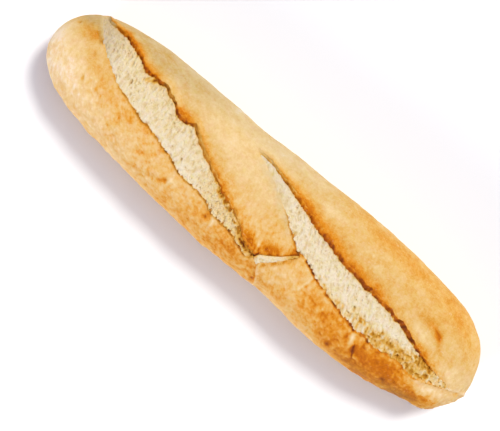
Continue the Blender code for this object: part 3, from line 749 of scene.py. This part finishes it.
# tear, cracks, pits
fringe = np.clip(0.85 + 0.9 * noise(B, 1.3, 121), 0, 1)
olive = np.maximum(olive, 0.6 * tear_on * near_tear * fringe * np.exp(-((e - band - 2.2) / 1.6) ** 2))
bake_and_shade += tear_on * near_tear * 0.46 * fringe * np.exp(-((e - band - 2.2) / 1.6) ** 2) * smooth(0.05, 0.2, tear_along) * smooth(0.92, 0.7, tear_along)
bake_and_shade += tear_on * near_tear * (0.27 * np.exp(-((e + 0.3) / 1.5) ** 2) * (1 + 0.5 * noise(B, 1.6, 123)) + 0.05 * np.exp(-(np.clip(-e, 0, None) / 7.0) ** 2) * (e < 0))
bake_and_shade += up_face * (0.27 * crack_v + 0.20 * crack_f - 0.20 * ridge_f + 0.12 * rim_1 + 0.14 * rim_2 + 0.14 * fan)
bake_and_shade -= up_face * (0.26 * pale_2 + 0.22 * seam)
bake_and_shade -= up_face * 0.22 * np.exp(-((rim_side + 2.0) / 1.5) ** 2) * smooth(7, 2, np.abs(rim_side)) * smooth(-45, -48, plan_w)
bake_and_shade += 0.16 * pits * up_face
# painted shade: the small deep dents are painted browner, and more olive at the round end
for dt_, dw_, rt_, rw_, turn_, h_ in DENTS:
    if h_ < -0.4 and max(rt_, rw_) < 5:
        mark = bump(plan_t, plan_w, dt_, dw_, rt_, rw_, turn_) * up_face
        bake_and_shade += (0.20 if dt_ < -200 else 0.18) * mark
        olive = np.maximum(olive, (0.7 if dt_ < -200 else 0.2) * mark)
bake_and_shade += 0.25 * bump(plan_t, plan_w, 32, -60, 2.4, 2.0) * up_face

# ---- greyer, darker skin along the ears' side towards the round end, and painted shade along that side's outer edge, where the skin turns away from the light
grey_and_shade = 0.75 * smooth(-60, -190, plan_t) * smooth(18, 42, plan_w) + 0.65 * smooth(34, 56, plan_w) * smooth(130, -30, plan_t)
grey_and_shade = np.clip(grey_and_shade + 0.9 * bump(plan_t, plan_w, -256, 36, 12, 7, 40), 0, 1) * up_face
grey_and_shade *= np.clip(1 - 1.4 * lip_zone, 0, 1)
for k in (0, 1):
    se = ANC[:, 3 if k == 0 else 1][:, None]
    sl = ANC[:, 4 if k == 0 else 2][:, None]
    near = np.exp(-(np.clip(se - S, 0, None) / 0.8) ** 2) * (S < sl) * (amounts[k][1][:, None] > 0.02)
    olive = np.maximum(olive, near * SCORES[k]["olive"](seen[k])[:, None])
grey_and_shade = np.maximum(grey_and_shade, 0.55 * soft_edge)
grey_and_shade = np.maximum(grey_and_shade, 0.8 * shallow)

olive = np.maximum(olive, 0.35 * smooth(-15, 12, plan_w) * smooth(0.75, 0.55, bake_and_shade) * up_face)

start = np.array([X_LEFT, mid_of(T_LEFT) * UNIT, WIDEST])
end = np.array([X_RIGHT, mid_of(T_RIGHT) * UNIT, WIDEST])
crust = tube("crust", crust_pts, start, end,
             {"bake_and_shade": (bake_and_shade, 0.3, 0.4), "grey_and_shade": (grey_and_shade, 0, 0), "olive": (np.clip(olive, 0, 1), 0, 0)})


# ==================================================================== CRUMB
def crumb_piece(name, sc, k, t0, t1, n_along, n_top, n_under, h_table, style):
    t = np.linspace(t0, t1, n_along)
    x = (t - T_MID) * UNIT
    p, nrm, arc = sections(x)
    anc = anchors(x, p, arc)
    se, sl = anc[:, 3 if k == 0 else 1], anc[:, 4 if k == 0 else 2]
    width = sl - se
    te = t_seen(p, arc, se)
    lip, cut, rim = score_amounts(te, sc)
    face = sc["face"](te) * np.clip(width / 3.5, 0.1, 1.0)
    tuck = np.minimum(0.3, width * 0.1)
    v = np.linspace(0, 1, n_top)
    s_top = se[:, None] - tuck[:, None] * 0.9 + v[None] * (width + 0.9 * tuck + 0.55 * np.minimum(1.0, width * 0.3))[:, None]
    u = np.linspace(1, 0, n_under + 2)[1:-1]
    s_low = se[:, None] - tuck[:, None] * 0.6 + u[None] * (width + 1.0 * tuck)[:, None]
    s_all = np.concatenate([s_top, s_low], 1)
    b, bn, bt = on_rings(p, nrm, arc, s_all)
    pt, pw = to_plan(b)
    # height across: low under the ear, up to the low edge
    vv = (s_all - se[:, None]) / width[:, None]
    lift = np.interp(vv, [r[0] for r in h_table], [r[1] for r in h_table])
    lift = np.where((lift < 0) & (vv < 0.6), lift * sc["deep"](te)[:, None], lift)
    thin = np.clip(width / 6.0, 0.12, 1.0)[:, None]
    rel, attrs = style(b, vv, pt, pw, s_all - se[:, None] - face[:, None], sl[:, None] - s_all)
    top = np.zeros(s_all.shape, bool)
    top[:, :n_top] = True
    edge = smooth(0.0, 0.05, (np.arange(n_top) / (n_top - 1))) * smooth(0.0, 0.04, 1 - np.arange(n_top) / (n_top - 1))
    edge = np.concatenate([edge, np.zeros(n_under)])[None]
    h = np.where(top, (lift - 0.10) * thin + rel * edge * np.clip(thin * 1.5, 0, 1) - 0.8 * (1 - edge) ** 2, 0.0)
    h_under = -2.4 * thin
    h = np.where(top, h, h_under)
    sink = (1 - np.clip(cut, 0, 1))[:, None]
    h = h - 0.9 * sink * np.ones_like(h)
    pts = b + bn * h[..., None]
    a0 = pts[0].mean(0) + np.array([-0.15, 0, -0.1])
    a1 = pts[-1].mean(0) + np.array([0.15, 0, -0.1])
    return tube(name, pts, a0, a1, {key: (val, float(val[0].mean()), float(val[-1].mean())) for key, val in attrs.items()})


def pores(b, size, seed, keep=0.5, soft=0.35):
    d, own = cells(b, size, seed)
    r = 0.16 + 0.30 * np.clip((own - keep) / (1 - keep), 0, 1)
    return np.where(own > keep, smooth(r, r * soft, d), 0.0)


def turned(b, degrees):
    a = math.radians(degrees)
    q = b.copy()
    q[..., 0] = b[..., 0] * math.cos(a) + b[..., 1] * math.sin(a)
    q[..., 1] = -b[..., 0] * math.sin(a) + b[..., 1] * math.cos(a)
    return q


def crumb_1(b, v, t, w, de, dl):
    q = turned(b, 8)                       # strands stand across the loaf
    rough = smooth(-82, -48, t)
    start = smooth(-252, -208, t)
    web = fbm(q, (1.5, 2.6, 2.2), 3, 201, 0.6) * (0.35 + 0.65 * start)
    strands = (0.6 * noise(q, (1.25, 5.0, 4.0), 205) + 0.6 * noise(q, (2.6, 4.5, 4.0), 206)) * (0.35 + 0.65 * start)
    hole = np.maximum(0.8 * pores(q, (1.6, 1.8, 1.6), 207, 0.62), pores(q, (2.6, 2.8, 2.4), 209, 0.80))
    open_ = np.maximum(pores(q, (2.9, 2.6, 2.6), 211, 0.30), 0.7 * pores(q, (1.7, 1.6, 1.7), 212, 0.4))
    hole = np.maximum(hole, rough * open_) * (0.2 + 0.8 * start)
    swell = 0.22 * fbm(b, 6.0, 2, 215)
    rel = (swell + (0.85 + 0.5 * rough) * web + 0.36 * strands + 0.22 * noise(q, (0.85, 1.3, 1.1), 231) - 0.45 * hole * (1 + 0.3 * rough)
           + rough * 0.45 * fbm(q, 2.6, 2, 219))
    slit = line(t, w, [(-188, 12), (-187, 6)], 1.0)[0]
    bridge = bump(t, w, -173.5, 24.5, 7.0, 2.6, 42)
    rel = rel - 0.6 * slit + 1.7 * bridge
    # painted shade: the crumb is darker and yellower in pores, in the slit and in low places between strands
    cav = np.clip(hole * (0.6 - 0.25 * rough) - 0.50 * web - 0.35 * strands + 0.6 * slit, 0, 1)
    # painted highlight: raised web and strands are painted paler
    toast = 0.09 - 0.10 * web - 0.07 * strands + 0.04 * fbm(b, 5.0, 2, 227) + 0.10 * (1 - start) * (v > 0.1)
    # painted shade under the ear: the crumb is painted darker near the ear and paler towards the low edge
    toast = toast + 0.05 * smooth(0.45, 0.05, v) - 0.05 * smooth(0.7, 1.0, v)
    toast = toast + 0.90 * np.exp(-(np.clip(de, -2, None) + 0.15) / 0.34).clip(0, 1) * (0.75 + 0.6 * noise(b, 1.8, 221)) * (1 - 0.6 * smooth(-70, -48, t))
    toast = toast + 0.50 * np.exp(-(np.clip(dl, 0, None) / 0.46) ** 2) * (1 + 0.7 * noise(b, 2.0, 223)) * smooth(-215, -190, t)
    toast = toast + rough * (0.03 + 0.32 * open_ * (0.6 + 0.5 * noise(b, 3.0, 225)))
    for rt, rw, r1, r2, amt in ((-47, -14.5, 4.6, 3.4, .70), (-37, -17.5, 3.2, 3.8, .74), (-28, -21.5, 3.6, 2.6, .56),
                                (-60, -8, 4.0, 1.8, .3), (-12, -30, 4.5, 1.8, .3), (-4, -36, 6, 1.8, .55),
                                (7, -41, 6, 1.8, .55), (15, -41.5, 4, 1.8, .45), (-18, -28, 3, 1.6, .3)):
        g = bump(t, w, rt, rw, r1, r2, -30)
        toast = toast + amt * g * np.clip(0.85 + 1.3 * noise(b, 1.7, 229), 0, 1.4)
        rel = rel + 0.25 * g
    toast = np.where((toast > 0.56) & (t > -66), 0.56 + 0.14 * np.tanh((toast - 0.56) / 0.14), toast)
    fray = bump(t, w, 8, -43.5, 9, 1.8, -8) + 0.8 * bump(t, w, -3, -40, 4, 1.5, -30)
    toast = toast + 0.24 * smooth(-16, -4, t) + 0.07 * rough - 0.03 * smooth(-130, -115, t) * smooth(-60, -78, t)
    toast = toast * (1 - 0.45 * np.clip(fray, 0, 1))
    rel = rel + 0.45 * np.clip(fray, 0, 1)
    toast = toast + np.clip(bridge * 1.5, 0, 1) * (0.40 + 0.14 * smooth(-175, -170, t) + 0.25 * noise(b, 2.0, 233) - toast)
    toast = toast + 0.22 * bump(t, w, -169.5, 26.0, 3.0, 2.0, 42)
    grey = 0.85 * smooth(-200, -238, t) * smooth(-0.1, 0.25, v)
    return rel, {"toast": np.clip(toast, 0, 1.3), "cav": cav, "grey": np.clip(grey, 0, 1)}


def crumb_2(b, v, t, w, de, dl):
    q = turned(b, 24)
    edge_v = np.interp(t, [60, 100, 135, 165, 192, 205, 216, 232], [1.15, 0.85, 0.55, 0.5, 0.42, 0.24, -0.05, -0.3])
    low_half = smooth(edge_v - 0.08, edge_v + 0.16, v + 0.10 * noise(b, 6.0, 317))
    web = fbm(q, (1.5, 2.6, 2.2), 3, 301, 0.6)
    strands = 0.6 * noise(q, (1.3, 5.5, 4.0), 305) + 0.6 * noise(q, (2.6, 4.8, 4.0), 306)
    hole = np.maximum(0.8 * pores(q, (1.6, 1.8, 1.6), 307, 0.66), pores(q, (2.6, 2.8, 2.4), 309, 0.84))
    open_ = np.maximum(pores(q, (3.6, 4.0, 3.6), 311, 0.30), 0.6 * pores(q, (2.0, 2.4, 2.0), 312, 0.4))
    big = pores(q, (6.0, 5.0, 5.0), 313, 0.45)
    open_ = np.maximum(open_, big * smooth(130, 160, t))
    hole = np.maximum(hole, low_half * open_)
    swell = 0.22 * fbm(b, 7.0, 2, 315)
    calm = smooth(30, 0, t)
    rel = swell + (0.85 * web + 0.40 * strands + 0.22 * noise(q, (0.85, 1.3, 1.1), 331) - 0.45 * hole * (1 + 0.3 * low_half)) * (1 - 0.6 * calm)
    rel = rel + low_half * (0.55 * fbm(q, (1.6, 2.6, 2.0), 2, 319) - 0.10)
    # painted highlight: raised web and strands are painted paler
    toast = 0.04 - 0.10 * web - 0.07 * strands + 0.04 * fbm(b, 5.0, 2, 327)
    scorch = 0.90 * np.exp(-(np.clip(de, -2, None) + 0.15) / 0.34).clip(0, 1) * (0.75 + 0.6 * noise(b, 1.8, 321)) * smooth(-30, 20, t) * smooth(234, 216, t)
    toast = toast + 0.44 * np.exp(-(np.clip(dl, 0, None) / 0.40) ** 2) * (0.4 * smooth(10, 30, t) + 0.6 * smooth(42, 56, t)) * (1 + 0.8 * noise(b, 2.0, 323))
    toast = toast + low_half * (0.18 + 0.17 * smooth(145, 200, t) * smooth(238, 228, t) - 0.04 * smooth(230, 236, t) + 0.42 * open_ * (0.7 + 0.5 * noise(b, 3.0, 325))
                                + 0.30 * fbm(q, (1.8, 3.4, 3.0), 2, 329))
    for rt, rw, r1, r2, amt in ((85, -12.5, 2.6, 2.2, .36), (91.5, -17, 1.8, 1.6, .28), (145, -19, 3.0, 2.8, .36),
                                (160.5, -22, 2.2, 4.0, .30), (194, -21, 3.6, 3.0, .30), (204, -14, 3.6, 2.6, .30),
                                (214, -9, 4.0, 2.4, .30), (228, -17, 1.7, 8.0, .55), (222, -24, 6, 2.4, .30), (160, -25, 5, 3.5, .34), (170, -22, 3, 4, .22),
                                (185, -24, 4, 3, -.25), (201, -20, 7, 5, .16), (141, -20, 5, 5, .16), (252, -12, 3, 2, .3), (36, 2, 3, 4, .18)):
        g = bump(t, w, rt, rw, r1, r2, 0) * np.clip(0.7 + 1.6 * noise(b, 1.6, 341), 0, 1.3)
        toast = toast + amt * g
        rel = rel - 0.45 * g
    toast = np.where(toast > 0.52, 0.52 + 0.12 * np.tanh((toast - 0.52) / 0.12), toast) + scorch
    toast = toast + 0.03 * smooth(222, 238, t)
    fade = smooth(44, -25, t) * smooth(0.45, 1.0, v)       # into the strip's crust
    toast = toast + 0.16 * fade + 0.10 * fade * fbm(b, 4.0, 2, 331)
    # painted shade: darker and yellower in the pores and low places between strands
    cav = np.clip(hole * (0.6 - 0.3 * low_half) - 0.48 * web - 0.35 * strands, 0, 1) * (1 - 0.5 * calm)
    grey = 0.30 * smooth(25, -10, t)
    return rel, {"toast": np.clip(toast, 0, 1.3), "cav": cav, "grey": np.clip(grey, 0, 1)}


H_1 = [(-0.2, -1.2), (0.0, -1.1), (0.10, -0.9), (0.22, -0.55), (0.45, -0.2), (0.75, 0.0), (0.97, 0.06), (1.0, 0.0), (1.1, -0.6)]
H_2 = [(-0.2, -1.2), (0.0, -1.1), (0.12, -0.9), (0.24, -0.50), (0.45, -0.1), (0.75, 0.02), (0.97, 0.06), (1.0, 0.0), (1.1, -0.6)]
crumb_a = crumb_piece("crumb_first_score", SCORES[0], 0, -250.0, 20.5, 620, 92, 10, H_1, crumb_1)
crumb_b = crumb_piece("crumb_second_score", SCORES[1], 1, -44.0, 254.5, 660, 92, 10, H_2, crumb_2)


# the crumb in the tear: a small closed strip along it
def tear_crumb():
    pts = np.array(TEAR, float)
    seg = np.diff(pts, axis=0)
    ln = np.concatenate([[0], np.cumsum(np.hypot(seg[:, 0], seg[:, 1]))])
    n, m, mu = 130, 26, 8
    a = np.linspace(-0.03, 0.97, n)
    ends = [v[0] + (v[0] - v[1]) * 0.3 for v in (pts[:, 0], pts[:, 1])]
    ln = np.concatenate([[-0.3 * ln[1]], ln])
    at = np.interp(a * ln[-1], ln, np.concatenate([[ends[0]], pts[:, 0]]))
    aw = np.interp(a * ln[-1], ln, np.concatenate([[ends[1]], pts[:, 1]]))
    dt, dw = np.gradient(at), np.gradient(aw)
    g = np.hypot(dt, dw)
    ot, ow = dw / g, -dt / g                         # towards the flap
    k = np.exp(-0.5 * (np.arange(-8, 9) / 4.0) ** 2)
    k /= k.sum()
    pad = lambda v: np.convolve(np.concatenate([np.full(8, v[0]), v, np.full(8, v[-1])]), k, "valid")
    ot, ow = pad(ot), pad(ow)
    bw = np.interp(a, *TEAR_BAND) + 1.0
    u_top = np.linspace(-0.1, 1.0, m)
    u_low = np.linspace(1.0, -0.1, mu + 2)[1:-1]
    u = np.concatenate([u_top, u_low])[None]
    pt = at[:, None] + ot[:, None] * u * bw[:, None]
    pw = aw[:, None] + ow[:, None] * u * bw[:, None]
    return pt, pw, u, a[:, None] + 0 * u, m, bw[:, None]


def surface_at(pt, pw):
    """The base form's point and normal under places on the plan."""
    z = np.full(pt.shape, HEIGHT - 4.0)
    for _ in range(6):
        k = (VIEW_Z - z) / (VIEW_Z - WIDEST)
        x = VIEW_X + ((pt - T_MID) * UNIT - VIEW_X) * k
        y = VIEW_Y + (pw * UNIT - VIEW_Y) * k
        half, mid, up, down = form(x.ravel())
        half, mid, up = (v.reshape(x.shape) for v in (half, mid, up))
        c = np.clip(np.abs(y - mid) / np.maximum(half, 1e-6), 0, 0.9999)
        z = WIDEST + up * (1 - c ** 2.08) ** (1 / 2.08)
    n = np.stack([np.zeros_like(x), np.sign(y - mid) * c ** 1.08 / np.maximum(half, 1e-6),
                  np.maximum((z - WIDEST) / np.maximum(up, 1e-6), 1e-3) ** 1.08 / np.maximum(up, 1e-6)], -1)
    n /= np.linalg.norm(n, axis=-1, keepdims=True)
    return np.stack([x, y, z], -1), n


pt, pw, u, a, m, bw = tear_crumb()
b, bn = surface_at(pt, pw)
is_top = (np.arange(u.shape[1]) < m)[None] & np.ones_like(u, bool)
web = fbm(b, 1.3, 3, 401, 0.6)
hole = pores(b, 1.5, 403, 0.6)
round_ = np.sqrt(np.clip(1 - ((u - 0.45) / 0.56) ** 2, 0, 1))
h = np.where(is_top, -0.62 + 1.0 * round_ + 0.60 * web - 0.20 * hole, -1.9)
h = h - 0.8 * (1 - smooth(-0.03, 0.0, a) * smooth(1.0, 0.93, a))
pts = b + bn * h[..., None]
# painted highlight and shade: the raised web is painted paler, the pores browner
toast = 0.09 + 0.42 * smooth(0.50, 0.90, a) + 0.70 * smooth(0.14, -0.02, u) + 0.40 * smooth(0.80, 1.0, u) - 0.16 * web + 0.10 * hole
toast = toast + 0.7 * bump(pt, pw, 18.5, -40.5, 3.5, 2.2, 20)
# the tear's pores carry painted shade
tear_piece = tube("crumb_tear", pts, pts[0].mean(0), pts[-1].mean(0),
                  {"toast": (np.clip(toast, 0, 1.2) + 0 * u, 0.5, 0.5), "cav": (np.clip(hole * 0.3, 0, 1), 0, 0),
                   "grey": (0 * toast, 0, 0)})


# ================================================================= MATERIALS
EXPOSURE = 1.30               # how bright white paper lies in this light


def srgb(r, g, b):
    out = []
    for c in (r, g, b):
        c = c / 255.0
        c = c / 12.92 if c <= 0.04045 else ((c + 0.055) / 1.055) ** 2.4
        out.append(max(0.0, min(1.0, c / EXPOSURE)))
    return (*out, 1.0)


class Nodes:
    def __init__(self, name):
        self.mat = bpy.data.materials.new(name)
        self.mat.use_nodes = True
        self.t = self.mat.node_tree
        self.bsdf = self.t.nodes["Principled BSDF"]
        self.x = 0

    def add(self, kind, **props):
        n = self.t.nodes.new(kind)
        self.x -= 40
        n.location = (self.x, 0)
        for k, v in props.items():
            setattr(n, k, v)
        return n

    def put(self, node, name, value):
        s = node.inputs[name]
        if isinstance(value, bpy.types.NodeSocket):
            self.t.links.new(value, s)
        else:
            s.default_value = value

    def attr(self, name):
        return self.add("ShaderNodeAttribute", attribute_name=name).outputs["Fac"]

    def math(self, op, a, b=0.0, c=0.0, clamp=False):
        n = self.add("ShaderNodeMath", operation=op, use_clamp=clamp)
        for i, v in enumerate((a, b, c)):
            if i < len(n.inputs):
                if isinstance(v, bpy.types.NodeSocket):
                    self.t.links.new(v, n.inputs[i])
                else:
                    n.inputs[i].default_value = v
        return n.outputs[0]

    def noise(self, size_mm, detail=2.0, rough=0.5, stretch=None, shift=0.0):
        co = self.add("ShaderNodeTexCoord").outputs["Object"]
        if stretch or shift:
            mp = self.add("ShaderNodeMapping")
            self.t.links.new(co, mp.inputs["Vector"])
            mp.inputs["Scale"].default_value = stretch or (1, 1, 1)
            mp.inputs["Location"].default_value = (shift, shift * 0.7, shift * 0.3)
            co = mp.outputs[0]
        n = self.add("ShaderNodeTexNoise")
        self.t.links.new(co, n.inputs["Vector"])
        n.inputs["Scale"].default_value = 1000.0 / size_mm
        n.inputs["Detail"].default_value = detail
        n.inputs["Roughness"].default_value = rough
        return n.outputs["Fac"]

    def voronoi(self, size_mm, feature="F1"):
        co = self.add("ShaderNodeTexCoord").outputs["Object"]
        n = self.add("ShaderNodeTexVoronoi", feature=feature)
        self.t.links.new(co, n.inputs["Vector"])
        n.inputs["Scale"].default_value = 1000.0 / size_mm
        return n.outputs["Distance"]

    def ramp(self, fac, stops, mode="LINEAR"):
        n = self.add("ShaderNodeValToRGB")
        cr = n.color_ramp
        cr.interpolation = mode
        while len(cr.elements) < len(stops):
            cr.elements.new(0.5)
        for el, (pos, col) in zip(cr.elements, stops):
            el.position = pos
        for el, (pos, col) in zip(cr.elements, stops):
            el.color = col
        self.t.links.new(fac, n.inputs[0])
        return n.outputs["Color"]

    def mix(self, fac, a, b, blend="MIX"):
        n = self.add("ShaderNodeMix", data_type="RGBA", blend_type=blend)
        for s, v in ((n.inputs[0], fac), (n.inputs[6], a), (n.inputs[7], b)):
            if isinstance(v, bpy.types.NodeSocket):
                self.t.links.new(v, s)
            else:
                s.default_value = v
        return n.outputs[2]

    def bump(self, height, strength, distance_mm, normal=None):
        n = self.add("ShaderNodeBump")
        n.inputs["Strength"].default_value = strength
        n.inputs["Distance"].default_value = distance_mm / 1000.0
        self.t.links.new(height, n.inputs["Height"])
        if normal is not None:
            self.t.links.new(normal, n.inputs["Normal"])
        return n.outputs["Normal"]


def crust_material():
    m = Nodes("crust")
    b = m.attr("bake_and_shade")
    raw, wander = b, None
    for size, amount, detail, shift in ((5.0, 0.20, 3, 0.0), (1.7, 0.18, 2, 0.3), (0.75, 0.14, 2, 0.7)):
        n = m.math("MULTIPLY", m.math("SUBTRACT", m.noise(size, detail, 0.55, shift=shift), 0.5), amount * 2)
        wander = n if wander is None else m.math("ADD", wander, n)
    gentle = m.math("SUBTRACT", 1.0, m.math("MULTIPLY", m.math("SUBTRACT", raw, 0.60, clamp=True), 1.6, clamp=True))
    b = m.math("MULTIPLY_ADD", wander, gentle, raw)
    # positions on the ramp are browning / 1.25
    stops = [(-0.10, (262, 240, 206)), (0.0, (259, 231, 186)), (0.15, (255, 220, 161)), (0.30, (248, 207, 140)),
             (0.45, (245, 194, 112)), (0.60, (242, 174, 74)), (0.75, (233, 147, 26)), (0.87, (213, 116, 0)),
             (1.0, (160, 74, 0)), (1.12, (112, 46, 0)), (1.3, (70, 28, 0))]
    fac = m.math("MULTIPLY_ADD", b, 1 / 1.4, 0.1 / 1.4, clamp=True)
    col = m.ramp(fac, [((p + 0.1) / 1.4, srgb(*c)) for p, c in stops])
    green = [(0.2, (246, 214, 150)), (0.5, (228, 182, 96)), (0.75, (202, 146, 54)), (0.95, (160, 110, 34)), (1.15, (112, 74, 20))]
    col = m.mix(m.math("MULTIPLY", m.attr("olive"), 0.9), col, m.ramp(fac, [((p + 0.1) / 1.4, srgb(*c)) for p, c in green]))
    # painted shade and greyness: the skin is multiplied towards a cool grey
    grey_shade_fac = m.math("MULTIPLY", m.attr("grey_and_shade"), 0.62)
    greyed_shaded = m.mix(1.0, col, srgb(226, 238, 252), "MULTIPLY")
    col = m.mix(grey_shade_fac, col, greyed_shaded)
    # patches of skin a little pinker or yellower than the rest
    hue = m.noise(3.2, 3, 0.6, shift=3.1)
    col = m.mix(m.math("MULTIPLY", m.math("SUBTRACT", hue, 0.52, clamp=True), 4.0, clamp=True),
                col, m.mix(1.0, col, srgb(292, 276, 306), "MULTIPLY"))
    col = m.mix(m.math("MULTIPLY", m.math("SUBTRACT", 0.46, hue, clamp=True), 4.0, clamp=True),
                col, m.mix(1.0, col, srgb(284, 290, 262), "MULTIPLY"))
    # pale flecks of dry flour
    fleck = m.math("GREATER_THAN", m.noise(1.1, 1, 0.5, shift=2.1), 0.70)
    col = m.mix(m.math("MULTIPLY", m.math("MULTIPLY", fleck, 0.16), gentle), col, srgb(252, 238, 208))
    m.put(m.bsdf, "Base Color", col)
    rough = m.math("MULTIPLY_ADD", m.noise(2.4, 2, 0.6, shift=1.3), 0.22, 0.52)
    m.put(m.bsdf, "Roughness", rough)
    m.bsdf.inputs["Specular IOR Level"].default_value = 0.09
    h1 = m.noise(1.5, 4, 0.6, shift=0.9)
    h2 = m.noise(0.6, 2, 0.6, shift=1.9)
    nrm = m.bump(h1, 0.8, 0.32)
    nrm = m.bump(h2, 0.5, 0.12, nrm)
    m.put(m.bsdf, "Normal", nrm)
    return m.mat


def crumb_material():
    m = Nodes("crumb")
    # how toasted the crumb is, with painted shade and highlight
    t = m.attr("toast")
    n1 = m.noise(1.6, 3, 0.6)
    t = m.math("MULTIPLY_ADD", m.math("SUBTRACT", n1, 0.5), 0.16, t)
    stops = [(0.0, (252, 237, 205)), (0.10, (249, 228, 182)), (0.22, (246, 218, 160)), (0.36, (242, 197, 112)),
             (0.52, (226, 169, 64)), (0.68, (200, 132, 30)), (0.84, (156, 86, 10)), (1.0, (108, 50, 8)), (1.3, (66, 30, 6))]
    col = m.ramp(m.math("MULTIPLY", t, 1 / 1.3, clamp=True), [(p / 1.3, srgb(*c)) for p, c in stops])
    hue = m.noise(2.2, 3, 0.6, shift=3.1)
    col = m.mix(m.math("MULTIPLY", m.math("SUBTRACT", hue, 0.52, clamp=True), 5.0, clamp=True),
                col, m.mix(1.0, col, srgb(292, 278, 296), "MULTIPLY"))
    col = m.mix(m.math("MULTIPLY", m.math("SUBTRACT", 0.46, hue, clamp=True), 5.0, clamp=True),
                col, m.mix(1.0, col, srgb(280, 284, 252), "MULTIPLY"))
    # painted shade in the crumb's pores and hollows: multiplied towards a darker yellow
    cav = m.math("MULTIPLY", m.attr("cav"), 0.75, clamp=True)
    col = m.mix(cav, col, m.mix(1.0, col, srgb(228, 205, 150), "MULTIPLY"))
    grey = m.math("MULTIPLY", m.attr("grey"), 0.8, clamp=True)
    col = m.mix(grey, col, m.mix(1.0, col, srgb(238, 236, 252), "MULTIPLY"))
    m.put(m.bsdf, "Base Color", col)
    m.put(m.bsdf, "Roughness", m.math("MULTIPLY_ADD", m.noise(1.2, 2, 0.6), 0.2, 0.70))
    m.bsdf.inputs["Specular IOR Level"].default_value = 0.12
    h = m.math("ADD", m.noise(0.9, 3, 0.65), m.math("MULTIPLY", m.voronoi(0.8), 0.6))
    m.put(m.bsdf, "Normal", m.bump(h, 0.8, 0.30))
    return m.mat


crust_mat = crust_material()
crumb_mat = crumb_material()
crust.data.materials.append(crust_mat)
for ob in (crumb_a, crumb_b, tear_piece):
    ob.data.materials.append(crumb_mat)

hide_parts("loaf")
for ob in (crust, crumb_a, crumb_b, tear_piece):
    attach(ob, "root")

# ============================================================ FLOOR AND LIGHT
floor_mesh = bpy.data.meshes.new("floor")
floor_mesh.from_pydata([(-30, -30, 0), (30, -30, 0), (30, 30, 0), (-30, 30, 0)], [], [(0, 1, 2, 3)])
floor = bpy.data.objects.new("floor", floor_mesh)
bpy.context.scene.collection.objects.link(floor)
fm = Nodes("pale_floor")
fm.put(fm.bsdf, "Base Color", (0.91, 0.91, 0.92, 1.0))
fm.put(fm.bsdf, "Roughness", 0.9)
fm.bsdf.inputs["Specular IOR Level"].default_value = 0.1
floor.data.materials.append(fm.mat)


def lamp(name, azimuth, elevation, spread, share):
    """A far soft lamp, spread degrees wide; azimuth 0 stands on +Y, 90 on +X.
    share is what it adds to the brightness of a white floor."""
    light = bpy.data.lights.new(name, "SUN")
    light.angle = math.radians(spread)
    light.energy = share * math.pi / math.sin(math.radians(elevation))
    ob = bpy.data.objects.new(name, light)
    a, e_ = math.radians(azimuth), math.radians(elevation)
    d = Vector((math.sin(a) * math.cos(e_), math.cos(a) * math.cos(e_), math.sin(e_)))
    ob.location = d * 1.5
    ob.rotation_mode = "QUATERNION"
    ob.rotation_quaternion = d.to_track_quat("Z", "Y")
    bpy.context.scene.collection.objects.link(ob)
    return light


lamp("key", 18, 55, 17, 0.70).color = (1.0, 0.985, 0.92)
lamp("top", 25, 72, 28, 0.16).color = (1.0, 0.985, 0.92)
lamp("card", 196, 20, 22, 0.21).color = (1.0, 1.0, 1.08)

# the room: pale at the horizon, dimmer overhead
world = bpy.data.worlds.new("studio")
world.use_nodes = True
wt = world.node_tree
sep = wt.nodes.new("ShaderNodeSeparateXYZ")
wt.links.new(wt.nodes.new("ShaderNodeTexCoord").outputs["Generated"], sep.inputs[0])
sky = wt.nodes.new("ShaderNodeValToRGB")
sky.color_ramp.elements.remove(sky.color_ramp.elements[1])
for i, (pos, v, blue) in enumerate(((0.0, 0.94, 1.02), (0.20, 0.73, 1.08), (0.42, 0.145, 1.65))):
    el = sky.color_ramp.elements[0] if i == 0 else sky.color_ramp.elements.new(pos)
    el.position = pos
    el.color = (v, v, v * blue, 1.0)
wt.links.new(sep.outputs["Z"], sky.inputs[0])
wt.links.new(sky.outputs[0], wt.nodes["Background"].inputs["Color"])
bpy.context.scene.world = world
bpy.context.scene.view_settings.view_transform = "Standard"
bpy.context.scene.view_settings.look = "None"

# -------------------------------------------------------------------- camera
cam_data = bpy.data.cameras.new("camera")
cam_data.lens = LENS
cam_data.sensor_width = 36.0
cam_data.clip_start, cam_data.clip_end = 0.05, 20.0
cam = bpy.data.objects.new("camera", cam_data)
turn = math.radians(41.03)
right = Vector((math.cos(turn), math.sin(turn), 0))
upv = Vector((-math.sin(turn), math.cos(turn), 0))
cam.matrix_world = Matrix((
    (right.x, upv.x, 0, VIEW_X / 1000), (right.y, upv.y, 0, VIEW_Y / 1000),
    (0, 0, 1, VIEW_Z / 1000), (0, 0, 0, 1)))
bpy.context.scene.collection.objects.link(cam)
bpy.context.scene.camera = cam

bpy.context.view_layer.update()
print("faces:", {o.name: len(o.data.polygons) for o in (crust, crumb_a, crumb_b, tear_piece)})
